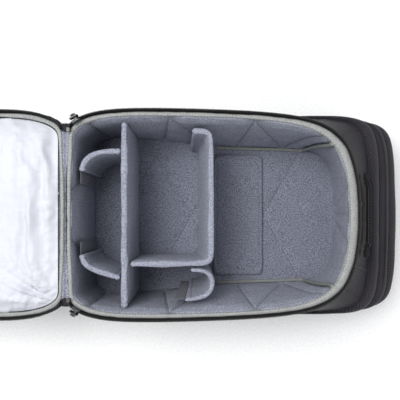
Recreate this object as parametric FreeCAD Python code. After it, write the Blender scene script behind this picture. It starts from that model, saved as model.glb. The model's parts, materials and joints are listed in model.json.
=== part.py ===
"""A drone carrying case: a padded backpack lying on its harness with its front lid folded open.

+X runs along the case to its top end, +Y across it and +Z up. The origin is the centre of the spine pad's
face, which the case rests on. All sizes are millimetres.
"""

import FreeCAD
import Part
import math
import os

Vector = FreeCAD.Vector

# ---- driving dimensions ----------------------------------------------------------------------------------
X_BOTTOM = -246.0  # outside of the case's bottom end, where the lid is hinged
X_RIM_TOP = 148.5  # outside of the rim at the case's top end
X_BASE_TOP = 241.0  # outside of the case's top end, low down
HALF_RIM = 142.5  # half the width at the rim
HALF_BASE = 143.5  # half the width low down

Z_PAD = 14.0  # top of the back pads
Z_PANEL = 17.0  # top of the back panel
Z_SHEET = 19.0  # top of the frame sheet
Z_LAPTOP = 38.0  # top of the laptop space
Z_BOARD = 42.0  # underside of the floor pad
Z_FLOOR = 50.0  # floor of the main compartment
Z_WALL = 186.0  # top of the padded walls and of the front shell
Z_RIM = 190.0  # top of the rim binding
Z_COIL = 194.6  # top of the zip tape, where its coil starts
Z_HINGE = 198.0  # middle of the zip, where the lid turns
COIL_GAP = 1.0  # from the middle of the zip to each coil
X_HINGE = -249.2  # the lid's fold line
LID_OPEN = 185.0  # degrees from closed to where the open lid leans on the end wall

SHELL = 2.0  # thickness of the outer fabric
TAPE = 1.0  # thickness of the zip tape
TAPE_MID = 1.1  # from the rim's outline to the middle of its zip tape
COIL_WIDE = 2.6

# ---- outlines --------------------------------------------------------------------------------------------
# An outline is a smooth closed curve. Its points run from the bottom end's middle to the top end's middle, as a
# share of the length and a share of the half width, and are mirrored for the other side.
RIM_SHAPE = [
    (0.0, 0.0), (0.0, 0.45), (0.0, 0.74), (0.0, 0.865), (0.07, 0.965), (0.19, 1.012),
    (0.497, 0.993), (0.75, 0.958), (0.907, 0.853), (0.984, 0.573), (1.004, 0.0),
]
BASE_SHAPE = [
    (0.0, 0.0), (0.0, 0.45), (0.0, 0.74), (0.0, 0.90), (0.045, 0.995), (0.19, 1.0),
    (0.497, 1.0), (0.80, 1.0), (0.965, 1.0), (1.0, 0.72), (1.0, 0.0),
]
FLOOR_SHAPE = [
    (0.0, 0.0), (0.0, 0.45), (0.0, 0.74), (0.0, 0.88), (0.05, 0.99), (0.19, 1.0),
    (0.46, 0.875), (0.75, 0.855), (0.93, 0.845), (1.0, 0.60), (1.0, 0.0),
]
MAIN_SHAPE = [
    (0.0, 0.0), (0.0, 0.45), (0.0, 0.74), (0.0, 0.88), (0.07, 0.98), (0.24, 1.0),
    (0.55, 1.0), (0.82, 0.98), (0.955, 0.94), (1.0, 0.68), (1.0, 0.0),
]


class Outline:
    """One level of the case: the curve at height z between x_bottom and x_top, half_width to each side."""

    def __init__(self, z, x_bottom, x_top, half_width, shape):
        self.z = z
        self.x_bottom = x_bottom
        self.x_top = x_top
        self.half_width = half_width
        self.shape = shape

    def inset(self, by, at_bottom=None):
        """The same level drawn in by this much, or by at_bottom at the bottom end."""
        end = by if at_bottom is None else at_bottom
        return Outline(self.z, self.x_bottom + end, self.x_top - by, self.half_width - by, self.shape)

    def at(self, z):
        """The same curve at another height."""
        return Outline(z, self.x_bottom, self.x_top, self.half_width, self.shape)

    def curve(self):
        length = self.x_top - self.x_bottom
        half = [(self.x_bottom + a * length, b * self.half_width) for a, b in self.shape]
        mirrored = [(x, -y) for x, y in half[-2:0:-1]]
        poles = [Vector(x, y, self.z) for x, y in half + mirrored]
        curve = Part.BSplineCurve()
        curve.buildFromPoles(poles, True, 3)
        return curve

    def wire(self):
        return Part.Wire([self.curve().toShape()])

    def point_at(self, x):
        """The curve's point on the +Y side where it crosses x."""
        crossing = Part.LineSegment(Vector(x, 1, self.z), Vector(x, 400, self.z)).toShape()
        return self.wire().distToShape(crossing)[1][0][0]


def solid_through(levels):
    """A solid whose sides run straight from each outline to the next."""
    return Part.makeLoft([level.wire() for level in levels], True, True)


def ring(levels, thickness, at_bottom=None):
    """A wall of this thickness that follows the outlines, open at the top and underneath."""
    inner = [level.inset(thickness, at_bottom) for level in levels]
    return ring_between(levels, inner)


def ring_between(outer, inner):
    """The wall between two stacks of outlines."""
    low, high = inner[0], inner[-1]
    through = [low.at(low.z - 1)] + inner + [high.at(high.z + 1)]
    return solid_through(outer).cut(solid_through(through))


def box(x0, x1, y0, y1, z0, z1):
    return Part.makeBox(x1 - x0, y1 - y0, z1 - z0, Vector(x0, y0, z0))


def panels(wall, x_low, x_high, y_low, y_high):
    """A wall cut into its sewn panels: two ends, two sides and four corners."""
    far = 1000.0
    ends = [
        box(-far, x_low, -y_low, y_low, -far, far),
        box(x_high, far, -y_high, y_high, -far, far),
        box(x_low, x_high, 0, far, -far, far),
        box(x_low, x_high, -far, 0, -far, far),
        box(-far, x_low, y_low, far, -far, far),
        box(-far, x_low, -far, -y_low, -far, far),
        box(x_high, far, y_high, far, -far, far),
        box(x_high, far, -far, -y_high, -far, far),
    ]
    found = []
    for cutter in ends:
        found += wall.common(cutter).Solids
    return Part.makeCompound(found)


# ---- levels ----------------------------------------------------------------------------------------------
RIM = Outline(Z_WALL, X_BOTTOM, X_RIM_TOP, HALF_RIM, RIM_SHAPE)
FRONT_FOOT = Outline(126.0, X_BOTTOM, 181.0, 142.0, BASE_SHAPE)
INNER_RIM = Outline(Z_WALL, -239.0, 135.0, 129.0, RIM_SHAPE)
INNER_FLOOR = Outline(Z_FLOOR, -236.0, 147.5, 126.0, FLOOR_SHAPE)
BASE = Outline(Z_PANEL, X_BOTTOM + 2, X_BASE_TOP - 3, HALF_BASE - 2, BASE_SHAPE)


# ---- the case's outer fabric ------------------------------------------------------------------------------
def front_shell():
    """The black side wall from the rim down to the first rib; it leans outwards at the top end."""
    return panels(ring([FRONT_FOOT, RIM], SHELL), -210, 95, 105, 75)


def rib(z_low, z_high, x_low, x_high, x_out, half, proud):
    """A padded roll around the case. Its foot and its top edge are at x_low and x_high at the top end."""
    third = (z_high - z_low) / 3
    levels = [
        Outline(z_low, X_BOTTOM, x_low, half, BASE_SHAPE),
        Outline(z_low + third, X_BOTTOM - proud, x_out, half + proud, BASE_SHAPE),
        Outline(z_high - third, X_BOTTOM - proud, x_out - 2, half + proud, BASE_SHAPE),
        Outline(z_high, X_BOTTOM, x_high, half, BASE_SHAPE),
    ]
    inner = [
        Outline(z_low, X_BOTTOM + SHELL, x_low - SHELL, half - SHELL, BASE_SHAPE),
        Outline(z_high, X_BOTTOM + SHELL, min(x_low, x_high) - SHELL, half - SHELL, BASE_SHAPE),
    ]
    return panels(ring_between(levels, inner), -210, 150, 105, 90)


def rib_front():
    return rib(108.0, 126.0, 194.0, 181.0, 197.0, 142.0, 3.0)


def rib_middle():
    return rib(85.0, 104.0, 214.0, 195.0, 218.0, 142.0, 3.5)


def rib_rear():
    return rib(42.0, 84.0, 238.0, 215.0, 242.0, 142.5, 3.0)


def rear_band():
    """The mesh-covered side of the laptop space, from the back panel up to the last rib."""
    foot = BASE
    top = Outline(42.0, X_BOTTOM, 238.0, 142.5, BASE_SHAPE)
    return panels(ring([foot, top], SHELL), -210, 150, 105, 90)


def rear_zip_coil():
    """The closed zip that lies in the groove between the first two ribs."""
    level = Outline(104.3, X_BOTTOM, 196.5, 143.0, BASE_SHAPE)
    return ring([level, level.at(107.7)], SHELL)


def back_panel():
    return solid_through([BASE.inset(2.5).at(Z_PAD), BASE.inset(0.5).at(Z_PANEL)])


# ---- stiffeners and padding ------------------------------------------------------------------------------
def slab(level, z_low, z_high, corner_inset):
    inner = level.inset(corner_inset)
    return solid_through([inner.at(z_low), inner.at(z_high)])


def frame_sheet():
    return slab(BASE, Z_PANEL, Z_SHEET, 8.0)


MAIN_FLOOR = Outline(Z_BOARD, -242.5, 159.0, 138.4, MAIN_SHAPE)


def laptop_pad():
    return slab(MAIN_FLOOR, Z_LAPTOP, Z_BOARD - 1.5, 1.0)


def floor_board():
    return slab(MAIN_FLOOR, Z_BOARD - 1.5, Z_BOARD, 2.0)


def floor_pad():
    return slab(MAIN_FLOOR, Z_BOARD, Z_FLOOR, 0.0)


WALL_SPLIT_BOTTOM = -216.0
WALL_SPLIT_TOP = 92.0


def wall_ring():
    """The foam walls in one piece, from the floor up to the binding."""
    foot = MAIN_FLOOR.at(Z_FLOOR)
    head = RIM.inset(SHELL + 0.3)
    return ring_between([foot, head], [INNER_FLOOR, INNER_RIM])


def wall_pads():
    """The four padded walls, each sewn to its neighbours at the corners."""
    wall = wall_ring()
    far = 1000.0
    low, high = WALL_SPLIT_BOTTOM, WALL_SPLIT_TOP
    return {
        "wall_pad_bottom_end": wall.common(box(-far, low, -far, far, 0, far)),
        "wall_pad_top_end": wall.common(box(high, far, -far, far, 0, far)),
        "wall_pad_left": wall.common(box(low, high, 0, far, 0, far)),
        "wall_pad_right": wall.common(box(low, high, -far, 0, 0, far)),
    }


# ---- rim, zip and hinge ----------------------------------------------------------------------------------
HINGE_HALF = 117.0  # half the length of the hinge line, where there is no zip


def off_hinge(shape, x_to=-236.0):
    """The shape without its stretch along the hinge line."""
    return shape.cut(box(-400, x_to, -HINGE_HALF, HINGE_HALF, 0, 400))


def rim_binding(z_low=Z_WALL, z_high=Z_RIM):
    """The stone-coloured tape over the edge of the padded walls, rounded on top."""
    outer = RIM.inset(4.0, 1.5)
    inner = INNER_RIM
    crown = z_high - z_low
    levels_out = [outer.at(z_low), outer.at(z_low + 0.6 * crown), outer.inset(1.8, 0.9).at(z_high)]
    levels_in = [inner.at(z_low), inner.at(z_low + 0.6 * crown), inner.inset(-1.8, -0.9).at(z_high)]
    return solid_through(levels_out).cut(
        solid_through([levels_in[0].at(z_low - 1)] + levels_in + [levels_in[-1].at(z_high + 1)])
    )


def zip_tape():
    level = RIM.inset(TAPE_MID - TAPE / 2)
    return off_hinge(ring([level, level.at(Z_COIL)], TAPE))


def zip_coil():
    level = RIM.inset(TAPE_MID - COIL_WIDE / 2)
    return off_hinge(ring([level.at(Z_COIL), level.at(Z_HINGE - COIL_GAP)], COIL_WIDE))


def zip_end_stops():
    """A metal clamp over the end of each coil, beside the hinge line."""
    stops = []
    for side in (1, -1):
        y = side * (HINGE_HALF - 3.2)
        stops.append(box(-245.2, -241.2, y - 2.6, y + 2.6, Z_RIM + 0.4, Z_HINGE - COIL_GAP))
    return Part.makeCompound(stops)


def hinge_strip():
    """The lining fabric that joins the lid to the end wall."""
    return box(X_HINGE - 1.4, -245.0, -HINGE_HALF + 8, HINGE_HALF - 8, Z_WALL + 0.4, Z_WALL + 1.4)


def hinge_end_tabs():
    """The black tabs that close the ends of the hinge line."""
    tabs = []
    for side in (1, -1):
        y = side * (HINGE_HALF - 1)
        tabs.append(box(X_HINGE - 1.2, X_BOTTOM - 0.2, y - 5, y + 5, Z_WALL - 3, Z_WALL - 0.5))
    return Part.makeCompound(tabs)


PIPING = 3.0  # width and height of the bound seam along the floor
PIPING_FROM = -40.0
PIPING_TO = 98.0


def floor_piping():
    """The bound seams between the floor and the side walls of the drone's space."""
    level = INNER_FLOOR.inset(0.3)
    whole = ring([level.at(Z_FLOOR + 0.1), level.at(Z_FLOOR + PIPING)], PIPING)
    return whole.common(box(PIPING_FROM, PIPING_TO, -400, 400, 0, 400))


# ---- lid, drawn closed over the case and then folded open -------------------------------------------------
LID_FOOT = Z_HINGE + (Z_HINGE - Z_WALL)  # where the lid's wall starts
Z_LID_EDGE = LID_FOOT + 16.0
Z_LID_TOP = LID_FOOT + 23.0


def lid_level(z, by):
    return RIM.at(z).inset(by)


def lid_side_band():
    levels = [lid_level(LID_FOOT, 0.0), lid_level(LID_FOOT + 9, 1.2), lid_level(Z_LID_EDGE, 5.0)]
    return panels(ring(levels, SHELL), -210, 95, 105, 75)


def lid_top_panel():
    outer = [lid_level(Z_LID_EDGE, 5.0), lid_level(Z_LID_EDGE + 4, 11.0), lid_level(Z_LID_TOP, 24.0)]
    inner = [level.inset(1.5).at(level.z - 2.2) for level in outer]
    cut = solid_through([inner[0].at(inner[0].z - 3)] + inner)
    return solid_through(outer).cut(cut)


def lid_edge_piping():
    level = lid_level(Z_LID_EDGE, 4.8)
    bead = [level.at(Z_LID_EDGE - 3), level.inset(-1.6).at(Z_LID_EDGE - 1.5), level.at(Z_LID_EDGE)]
    outside = solid_through(bead)
    face = [lid_level(LID_FOOT + 9, 1.2), lid_level(Z_LID_EDGE, 5.0), lid_level(Z_LID_EDGE + 1, 5.0)]
    return outside.cut(solid_through(face))


def lid_foam():
    return slab(RIM, LID_FOOT + 11.0, Z_LID_EDGE - 0.6, 9.5)


def lid_board():
    return slab(RIM, LID_FOOT + 9.5, LID_FOOT + 11.0, 10.5)


def lid_lining():
    """The loose lining that fills the lid up to its binding."""
    low, high = LID_FOOT + 0.6, LID_FOOT + 9.5
    return solid_through([RIM.at(low).inset(14.5), RIM.at(low + 3).inset(9.5), RIM.at(high).inset(9.5)])


def lid_binding():
    """The same bound edge as the case's, facing down."""
    outer = RIM.inset(3.0, 1.5)
    inner = INNER_RIM
    low, high = 2 * Z_HINGE - Z_RIM, LID_FOOT
    mid = low + 0.4 * (high - low)
    out = [outer.inset(1.8, 0.9).at(low), outer.at(mid), outer.at(high)]
    hole = [inner.inset(-1.8, -0.9).at(low - 1), inner.inset(-1.8, -0.9).at(low)]
    hole += [inner.at(mid), inner.at(high), inner.at(high + 1)]
    return solid_through(out).cut(solid_through(hole))


def lid_zip_tape():
    level = RIM.inset(TAPE_MID - TAPE / 2)
    return off_hinge(ring([level.at(2 * Z_HINGE - Z_COIL), level.at(LID_FOOT)], TAPE))


def lid_zip_coil():
    level = RIM.inset(TAPE_MID - COIL_WIDE / 2)
    return off_hinge(ring([level.at(Z_HINGE + COIL_GAP), level.at(2 * Z_HINGE - Z_COIL)], COIL_WIDE))


def folded_open(shape):
    """The lid's piece turned back from closed to where the open lid leans."""
    turned = shape.copy()
    turned.rotate(Vector(X_HINGE, 0, Z_HINGE), Vector(0, 1, 0), -LID_OPEN)
    return turned


# ---- dividers --------------------------------------------------------------------------------------------
def spline(points):
    curve = Part.BSplineCurve()
    curve.buildFromPoles([Vector(x, y, 0) for x, y in points], False, min(3, len(points) - 1))
    return curve


def offset_line(points, by, z, steps=24):
    """Points beside a centre line, this far to its left, as one smooth edge at height z."""
    curve = spline(points)
    first, last = curve.FirstParameter, curve.LastParameter
    found = []
    for i in range(steps + 1):
        u = first + (last - first) * i / steps
        way = curve.tangent(u)[0]
        p = curve.value(u)
        found.append(Vector(p.x - way.y * by, p.y + way.x * by, z))
    line = Part.BSplineCurve()
    line.interpolate(found)
    return line.toShape()


def strip_outline(points, thickness, z):
    left = offset_line(points, thickness / 2, z)
    right = offset_line(points, -thickness / 2, z)
    ends = [
        Part.LineSegment(left.Vertexes[-1].Point, right.Vertexes[-1].Point).toShape(),
        Part.LineSegment(right.Vertexes[0].Point, left.Vertexes[0].Point).toShape(),
    ]
    return Part.Wire(Part.__sortEdges__([left, ends[0], right, ends[1]]))


def strip(low_points, high_points, thickness, z_low, z_high):
    """A padded strip on edge: its centre line runs from low_points at its foot to high_points at its top."""
    wires = [strip_outline(low_points, thickness, z_low), strip_outline(high_points, thickness, z_high)]
    return Part.makeLoft(wires, True, True)


Z_STAND = Z_FLOOR + 0.6  # underside of everything that stands on the floor
X_MAIN = -170.5  # middle of the cross divider
MAIN_THICK = 9.0
STRIP_THICK = 8.0
HOOK = 1.4  # thickness of hook tape

MAIN_TOP = 184.0
MAIN_HALF_LOW = 122.6
MAIN_HALF_HIGH = 125.6


def trapezium(half_low, half_high, z_low, z_high, thickness, x_mid):
    """A flat board across the case, wider at its top, in the slightly spread shape of the walls."""
    wires = []
    for half, z in ((half_low, z_low), (half_high, z_high)):
        corners = [
            Vector(x_mid - thickness / 2, -half, z),
            Vector(x_mid + thickness / 2, -half, z),
            Vector(x_mid + thickness / 2, half, z),
            Vector(x_mid - thickness / 2, half, z),
        ]
        wires.append(Part.makePolygon(corners + [corners[0]]))
    return Part.makeLoft(wires, True, True)


def divider_main():
    outside = trapezium(MAIN_HALF_LOW, MAIN_HALF_HIGH, Z_STAND, MAIN_TOP, MAIN_THICK, X_MAIN)
    return outside.cut(divider_main_board())


def divider_main_board():
    """The plastic sheet inside the cross divider, sealed in its foam."""
    return box(X_MAIN - 0.6, X_MAIN + 0.6, -116, 116, Z_STAND + 6, MAIN_TOP - 8)


def divider_main_hooks():
    """Strips of hook tape along the divider's two slanted ends."""
    whole = trapezium(
        MAIN_HALF_LOW + HOOK, MAIN_HALF_HIGH + HOOK, Z_STAND + 10, MAIN_TOP - 14, MAIN_THICK - 2, X_MAIN
    )
    clear = 0.01
    middle = trapezium(
        MAIN_HALF_LOW + clear, MAIN_HALF_HIGH + clear, Z_STAND, MAIN_TOP, 2 * MAIN_THICK, X_MAIN
    )
    return whole.cut(middle)


GOGGLES_LOW = [
    (-84, 105.5), (-72, 106), (-66, 104), (-65, 88), (-65, 20), (-65, -48), (-66, -62), (-72, -66.5),
    (-100, -67), (-162.2, -67),
]
GOGGLES_HIGH = [
    (-78, 114.5), (-60, 115), (-53, 112), (-52, 94), (-52, 20), (-52, -48), (-53, -62), (-62, -66.5),
    (-100, -67), (-162.2, -67),
]
GOGGLES_TOP = 181.0


def divider_goggles():
    return strip(GOGGLES_LOW, GOGGLES_HIGH, STRIP_THICK, Z_STAND, GOGGLES_TOP)


def divider_goggles_hooks():
    """One hook tab faces the cross divider and one faces the side wall."""
    at_main = box(-163.9, -162.2, -70.4, -63.6, Z_STAND + 10, GOGGLES_TOP - 12)
    low = [(-82, 110.9), (-74, 111.1)]
    high = [(-76.5, 119.9), (-66, 120.2)]
    at_wall = strip(low, high, HOOK, Z_STAND + 10, GOGGLES_TOP - 12)
    return Part.makeCompound([at_main, at_wall])


CURL_LOW = [(-82, -75.9), (-66, -75.9), (-57, -81), (-54.5, -90), (-58, -100), (-70, -104.5), (-84, -105.5)]
CURL_HIGH = [(-80, -75.9), (-62, -75.9), (-52, -82), (-49.5, -96), (-55, -110), (-69, -115.5), (-88, -117)]
CURL_TOP = 174.0


def divider_curl():
    return strip(CURL_LOW, CURL_HIGH, STRIP_THICK - 1.5, Z_STAND, CURL_TOP)


def divider_curl_hooks():
    low = [(-98, -106), (-84.6, -105.6)]
    high = [(-103, -117.4), (-88.6, -117.1)]
    return strip(low, high, HOOK, Z_STAND + 12, CURL_TOP - 10)


CRADLE_TOP = 178.0
CRADLE_LEFT = [(-176.4, 87), (-190, 87.5), (-207, 86.5), (-221, 79.5), (-229, 70), (-229.5, 60)]
CRADLE_RIGHT = [(-177.4, -86.2), (-190, -82.5), (-207, -77.5), (-221, -71.5), (-228.5, -64), (-229.5, -54)]


def cradle(points):
    return strip(points, points, STRIP_THICK, Z_STAND, CRADLE_TOP)


X_WALL_TAB = -233.6  # where the controller dividers' tabs lie against the end wall
WALL_TAB = 16.0


def cradle_hooks(points, side):
    """A tab on the end wall, past the strip's end."""
    near = side * (abs(points[-1][1]) - 0.3)
    far = near - side * WALL_TAB
    low, high = min(near, far), max(near, far)
    return box(X_WALL_TAB, X_WALL_TAB + HOOK, low, high, Z_STAND + 12, CRADLE_TOP - 10)


def divider_controller_left():
    return cradle(CRADLE_LEFT)


def divider_controller_right():
    return cradle(CRADLE_RIGHT)


def divider_controller_left_hooks():
    return cradle_hooks(CRADLE_LEFT, 1)


def divider_controller_right_hooks():
    return cradle_hooks(CRADLE_RIGHT, -1)


RISER = (-46.0, 33.0, 96.0)  # from, to, half width
RISER_THICK = 5.5


def riser_pad():
    x0, x1, half = RISER
    pad = box(x0, x1, -half, half, Z_STAND, Z_STAND + RISER_THICK)
    return pad.makeFillet(2.0, [e for e in pad.Edges if e.BoundBox.ZMin > Z_STAND + RISER_THICK - 0.1])


# ---- zip sliders and pulls -------------------------------------------------------------------------------
SLIDER_X = (-233.5, -221.0, -206.0)  # where the rim's sliders are parked, pass and stop
PLATE = 1.2
PLATE_IN = 2.5  # from the middle of the tape to each plate
PIN_RADIUS = 0.8
PIN_OUT = 6.2  # from the middle of the tape to the pull's pin
PIN_GAP = 0.35
REAR_SLIDER_X = 60.0
REAR_SLIDER_TRAVEL = 160.0
REAR_ZIP_MID = 142.2
Z_REAR_ZIP = 106.0


def corner_track():
    """The arc that the +Y slider takes round the rim's corner: its centre, start and stop."""
    level = RIM.at(Z_HINGE).inset(TAPE_MID)
    start, way, stop = [level.point_at(x) for x in SLIDER_X]
    circle = Part.Circle(start, way, stop)
    return circle.Center, start, stop


def crown():
    """Two lugs and the pin between them, outside the slider's plate."""
    out = PLATE_IN + PLATE - 0.2
    lug = box(-3.6, -2.4, out, PIN_OUT + 1.4, -1.8, 1.8)
    other = box(2.4, 3.6, out, PIN_OUT + 1.4, -1.8, 1.8)
    pin = Part.makeCylinder(PIN_RADIUS, 4.9, Vector(-2.45, PIN_OUT, 0), Vector(1, 0, 0))
    return lug.fuse([other, pin])


def slider_plate(y, half_height):
    plate = box(-6, 6, y, y + PLATE, -half_height, half_height)
    return plate.makeFillet(1.8, [e for e in plate.Edges if abs(e.tangentAt(0).y) > 0.9])


def slider():
    """A slider for tapes in the plane y = 0 that meet at z = 0."""
    bridge = box(-0.5, 2.5, -PLATE_IN - 0.1, PLATE_IN + 0.1, -0.6, 0.6)
    plates = [slider_plate(PLATE_IN, 5.0), slider_plate(-PLATE_IN - PLATE, 5.0)]
    return bridge.fuse(plates + [crown()])


def rear_slider():
    """A slider for a closed zip that lies in the plane y = 0."""
    return slider_plate(PLATE_IN, 3.2).fuse(crown())


def pull():
    """The tab that hangs from the slider's pin."""
    eye = Part.makeCylinder(2.0, 3.6, Vector(-1.8, PIN_OUT, 0), Vector(1, 0, 0))
    neck = box(-1.8, 1.8, PIN_OUT - 0.9, PIN_OUT + 0.9, -7, 0)
    tab = box(-3.4, 3.4, PIN_OUT - 1.0, PIN_OUT + 1.0, -28, -6.5)
    tab = tab.makeFillet(2.4, [e for e in tab.Edges if abs(e.tangentAt(0).y) > 0.9])
    hole = Part.makeCylinder(PIN_RADIUS + PIN_GAP, 5, Vector(-2.5, PIN_OUT, 0), Vector(1, 0, 0))
    return eye.fuse([neck, tab]).cut(hole)


def on_rim(shape, side):
    """A slider or pull put on the rim's parked place, on the +Y side or the -Y side."""
    centre, start, _ = corner_track()
    outward = start - centre
    placed = shape.copy()
    placed.rotate(Vector(0, 0, 0), Vector(0, 0, 1), math.degrees(math.atan2(-outward.x, outward.y)))
    placed.translate(start)
    return placed if side > 0 else mirrored(placed)


def on_rear_zip(shape):
    """A slider or pull put on the rear zip's +Y side."""
    placed = shape.copy()
    placed.translate(Vector(REAR_SLIDER_X, REAR_ZIP_MID, Z_REAR_ZIP))
    return placed


# ---- grab handle -----------------------------------------------------------------------------------------
HANDLE_HALF = 44.0  # half the spacing of the handle's legs
HANDLE_DROP = 19.0  # from its pivots to its grip, down the slope
HANDLE_RADIUS = 3.6
HANDLE_AT = 0.32  # how far down the slope the handle's pivots are, as a share
HANDLE_OUT = 4.8  # from the slope to the pivots
HANDLE_CORNER = 13.0
PIVOT_RADIUS = 2.4

SLOPE = Vector(FRONT_FOOT.x_top - X_RIM_TOP, 0, FRONT_FOOT.z - Z_WALL)
SLOPE.normalize()
SLOPE_OUT = Vector(-SLOPE.z, 0, SLOPE.x)


def handle_point(y, down, out=0.0):
    """A point beside the handle's pivot line: this far across, down the slope and out from it."""
    top = Vector(X_RIM_TOP, y, Z_WALL)
    foot = Vector(FRONT_FOOT.x_top, y, FRONT_FOOT.z)
    pivot = top + (foot - top) * HANDLE_AT + SLOPE_OUT * HANDLE_OUT
    return pivot + SLOPE * down + SLOPE_OUT * out


def handle_path():
    """A flat U: two legs, two round corners and the grip."""
    half, drop, r = HANDLE_HALF, HANDLE_DROP, HANDLE_CORNER
    mid = r * (1 - math.sqrt(0.5))
    edges = [
        Part.LineSegment(handle_point(half, 0), handle_point(half, drop - r)),
        Part.Arc(
            handle_point(half, drop - r), handle_point(half - mid, drop - mid), handle_point(half - r, drop)
        ),
        Part.LineSegment(handle_point(half - r, drop), handle_point(r - half, drop)),
        Part.Arc(
            handle_point(r - half, drop), handle_point(mid - half, drop - mid), handle_point(-half, drop - r)
        ),
        Part.LineSegment(handle_point(-half, drop - r), handle_point(-half, 0)),
    ]
    return Part.Wire([edge.toShape() for edge in edges])


def grab_handle():
    """A padded roll of webbing with a pivot bar through each leg."""
    ring_wire = Part.Wire([Part.Circle(handle_point(HANDLE_HALF, 0), SLOPE, HANDLE_RADIUS).toShape()])
    roll = handle_path().makePipeShell([ring_wire], True, False)
    ends = []
    for side in (1, -1):
        inner = handle_point(side * (HANDLE_HALF - HANDLE_RADIUS), 0)
        ends.append(Part.makeCylinder(HANDLE_RADIUS, 2 * HANDLE_RADIUS, inner, Vector(0, side, 0)))
        outer = handle_point(side * (HANDLE_HALF + HANDLE_RADIUS - 0.5), 0)
        ends.append(Part.makeCylinder(PIVOT_RADIUS, 12.0, outer, Vector(0, side, 0)))
    return roll.fuse(ends)


def grab_handle_anchors():
    """The webbing loops round the handle's pivot bars, each with a tail that is sewn to the slope."""
    whole_case = solid_through([FRONT_FOOT.at(FRONT_FOOT.z - 0.1), RIM.inset(-0.1)])
    found = []
    for side in (1, -1):
        y = HANDLE_HALF + HANDLE_RADIUS + 1.2
        across = Vector(0, side, 0)
        sleeve = Part.makeCylinder(PIVOT_RADIUS + 1.9, 9.0, handle_point(side * y, 0), across)
        bore = Part.makeCylinder(PIVOT_RADIUS + 0.4, 30.0, handle_point(side * (y - 10), 0), across)
        corners = [(-3, -3.6), (-3, -12), (12, -12), (12, -3.6)]
        face = Part.makePolygon([handle_point(side * y, a, b) for a, b in corners + corners[:1]])
        tail = Part.Face(face).extrude(across * 9.0)
        found.append(sleeve.fuse(tail).cut(bore).cut(whole_case))
    return Part.makeCompound(found)


# ---- harness ---------------------------------------------------------------------------------------------
def pad(x0, x1, y0, y1, z0, z1, corner):
    """A flat cushion with round corners."""
    block = box(x0, x1, y0, y1, z0, z1)
    block = block.makeFillet(corner, [e for e in block.Edges if abs(e.tangentAt(0).z) > 0.9])
    return block.makeFillet(3.0, [e for e in block.Edges if e.BoundBox.ZMax < z0 + 0.1])


def spine_pad():
    return pad(-120, 175, -26, 26, 0, Z_PAD, 14)


def lumbar_pad():
    return pad(-234, -150, -80, 80, 0, Z_PAD, 22)


STRAP_LINE = [(196, 50), (150, 50), (90, 62), (20, 78), (-50, 82), (-118, 70)]
STRAP_WIDE = 44.0
STRAP_THICK = 9.0


def mirrored(shape):
    return shape.mirror(Vector(0, 0, 0), Vector(0, 1, 0))


def shoulder_strap(side):
    strap = strip(STRAP_LINE, STRAP_LINE, STRAP_WIDE, 0, STRAP_THICK)
    return strap if side > 0 else mirrored(strap)


def harness_yoke():
    """The panel that the straps are sewn to, under the case's top end."""
    return box(178, 214, -78, 78, STRAP_THICK, Z_PAD)


WEB_LINE = [(-131, 69), (-146, 92), (-190, 109), (-226, 116)]


def strap_webbing():
    """The webbing from each strap's buckle to the bottom corner of the back panel."""
    one = strip(WEB_LINE, WEB_LINE, 16.0, 2.0, 4.0)
    tail = box(-234, -214, 106, 126, 4.0, Z_PAD)
    return Part.makeCompound([one, tail, mirrored(one), mirrored(tail)])


def ladder_locks():
    """The buckle at the foot of each strap: a frame with a bar across it."""
    frame = box(-145.5, -124, 56, 82, 4.3, 8.8)
    window = box(-142, -136, 60, 78, 4, 9)
    other = box(-133.5, -127.5, 60, 78, 4, 9)
    one = frame.cut(window).cut(other)
    return Part.makeCompound([one, mirrored(one)])


# ---- the parts -------------------------------------------------------------------------------------------
def build():
    parts = {
        "front_shell": front_shell(),
        "rib_front": rib_front(),
        "rib_middle": rib_middle(),
        "rib_rear": rib_rear(),
        "rear_band": rear_band(),
        "rear_zip_coil": rear_zip_coil(),
        "back_panel": back_panel(),
        "frame_sheet": frame_sheet(),
        "laptop_pad": laptop_pad(),
        "floor_board": floor_board(),
        "floor_pad": floor_pad(),
        "rim_binding": rim_binding(),
        "zip_tape": zip_tape(),
        "zip_coil": zip_coil(),
        "zip_end_stops": zip_end_stops(),
        "hinge_strip": hinge_strip(),
        "hinge_end_tabs": hinge_end_tabs(),
        "floor_piping": floor_piping(),
        "grab_handle": grab_handle(),
        "grab_handle_anchors": grab_handle_anchors(),
        "spine_pad": spine_pad(),
        "lumbar_pad": lumbar_pad(),
        "shoulder_strap_left": shoulder_strap(1),
        "shoulder_strap_right": shoulder_strap(-1),
        "harness_yoke": harness_yoke(),
        "strap_webbing": strap_webbing(),
        "ladder_locks": ladder_locks(),
        "divider_main": divider_main(),
        "divider_main_board": divider_main_board(),
        "divider_main_hooks": divider_main_hooks(),
        "divider_goggles": divider_goggles(),
        "divider_goggles_hooks": divider_goggles_hooks(),
        "divider_curl": divider_curl(),
        "divider_curl_hooks": divider_curl_hooks(),
        "divider_controller_left": divider_controller_left(),
        "divider_controller_left_hooks": divider_controller_left_hooks(),
        "divider_controller_right": divider_controller_right(),
        "divider_controller_right_hooks": divider_controller_right_hooks(),
        "riser_pad": riser_pad(),
    }
    parts.update(wall_pads())
    for side, name in ((1, "left"), (-1, "right")):
        parts[f"zip_slider_{name}"] = on_rim(slider(), side)
        parts[f"zip_pull_{name}"] = on_rim(pull(), side)
    parts["zip_slider_rear"] = on_rear_zip(rear_slider())
    parts["zip_pull_rear"] = on_rear_zip(pull())
    lid = {
        "lid_side_band": lid_side_band(),
        "lid_top_panel": lid_top_panel(),
        "lid_edge_piping": lid_edge_piping(),
        "lid_foam": lid_foam(),
        "lid_board": lid_board(),
        "lid_lining": lid_lining(),
        "lid_binding": lid_binding(),
        "lid_zip_tape": lid_zip_tape(),
        "lid_zip_coil": lid_zip_coil(),
    }
    for name, shape in lid.items():
        parts[name] = folded_open(shape)
    return parts


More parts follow.
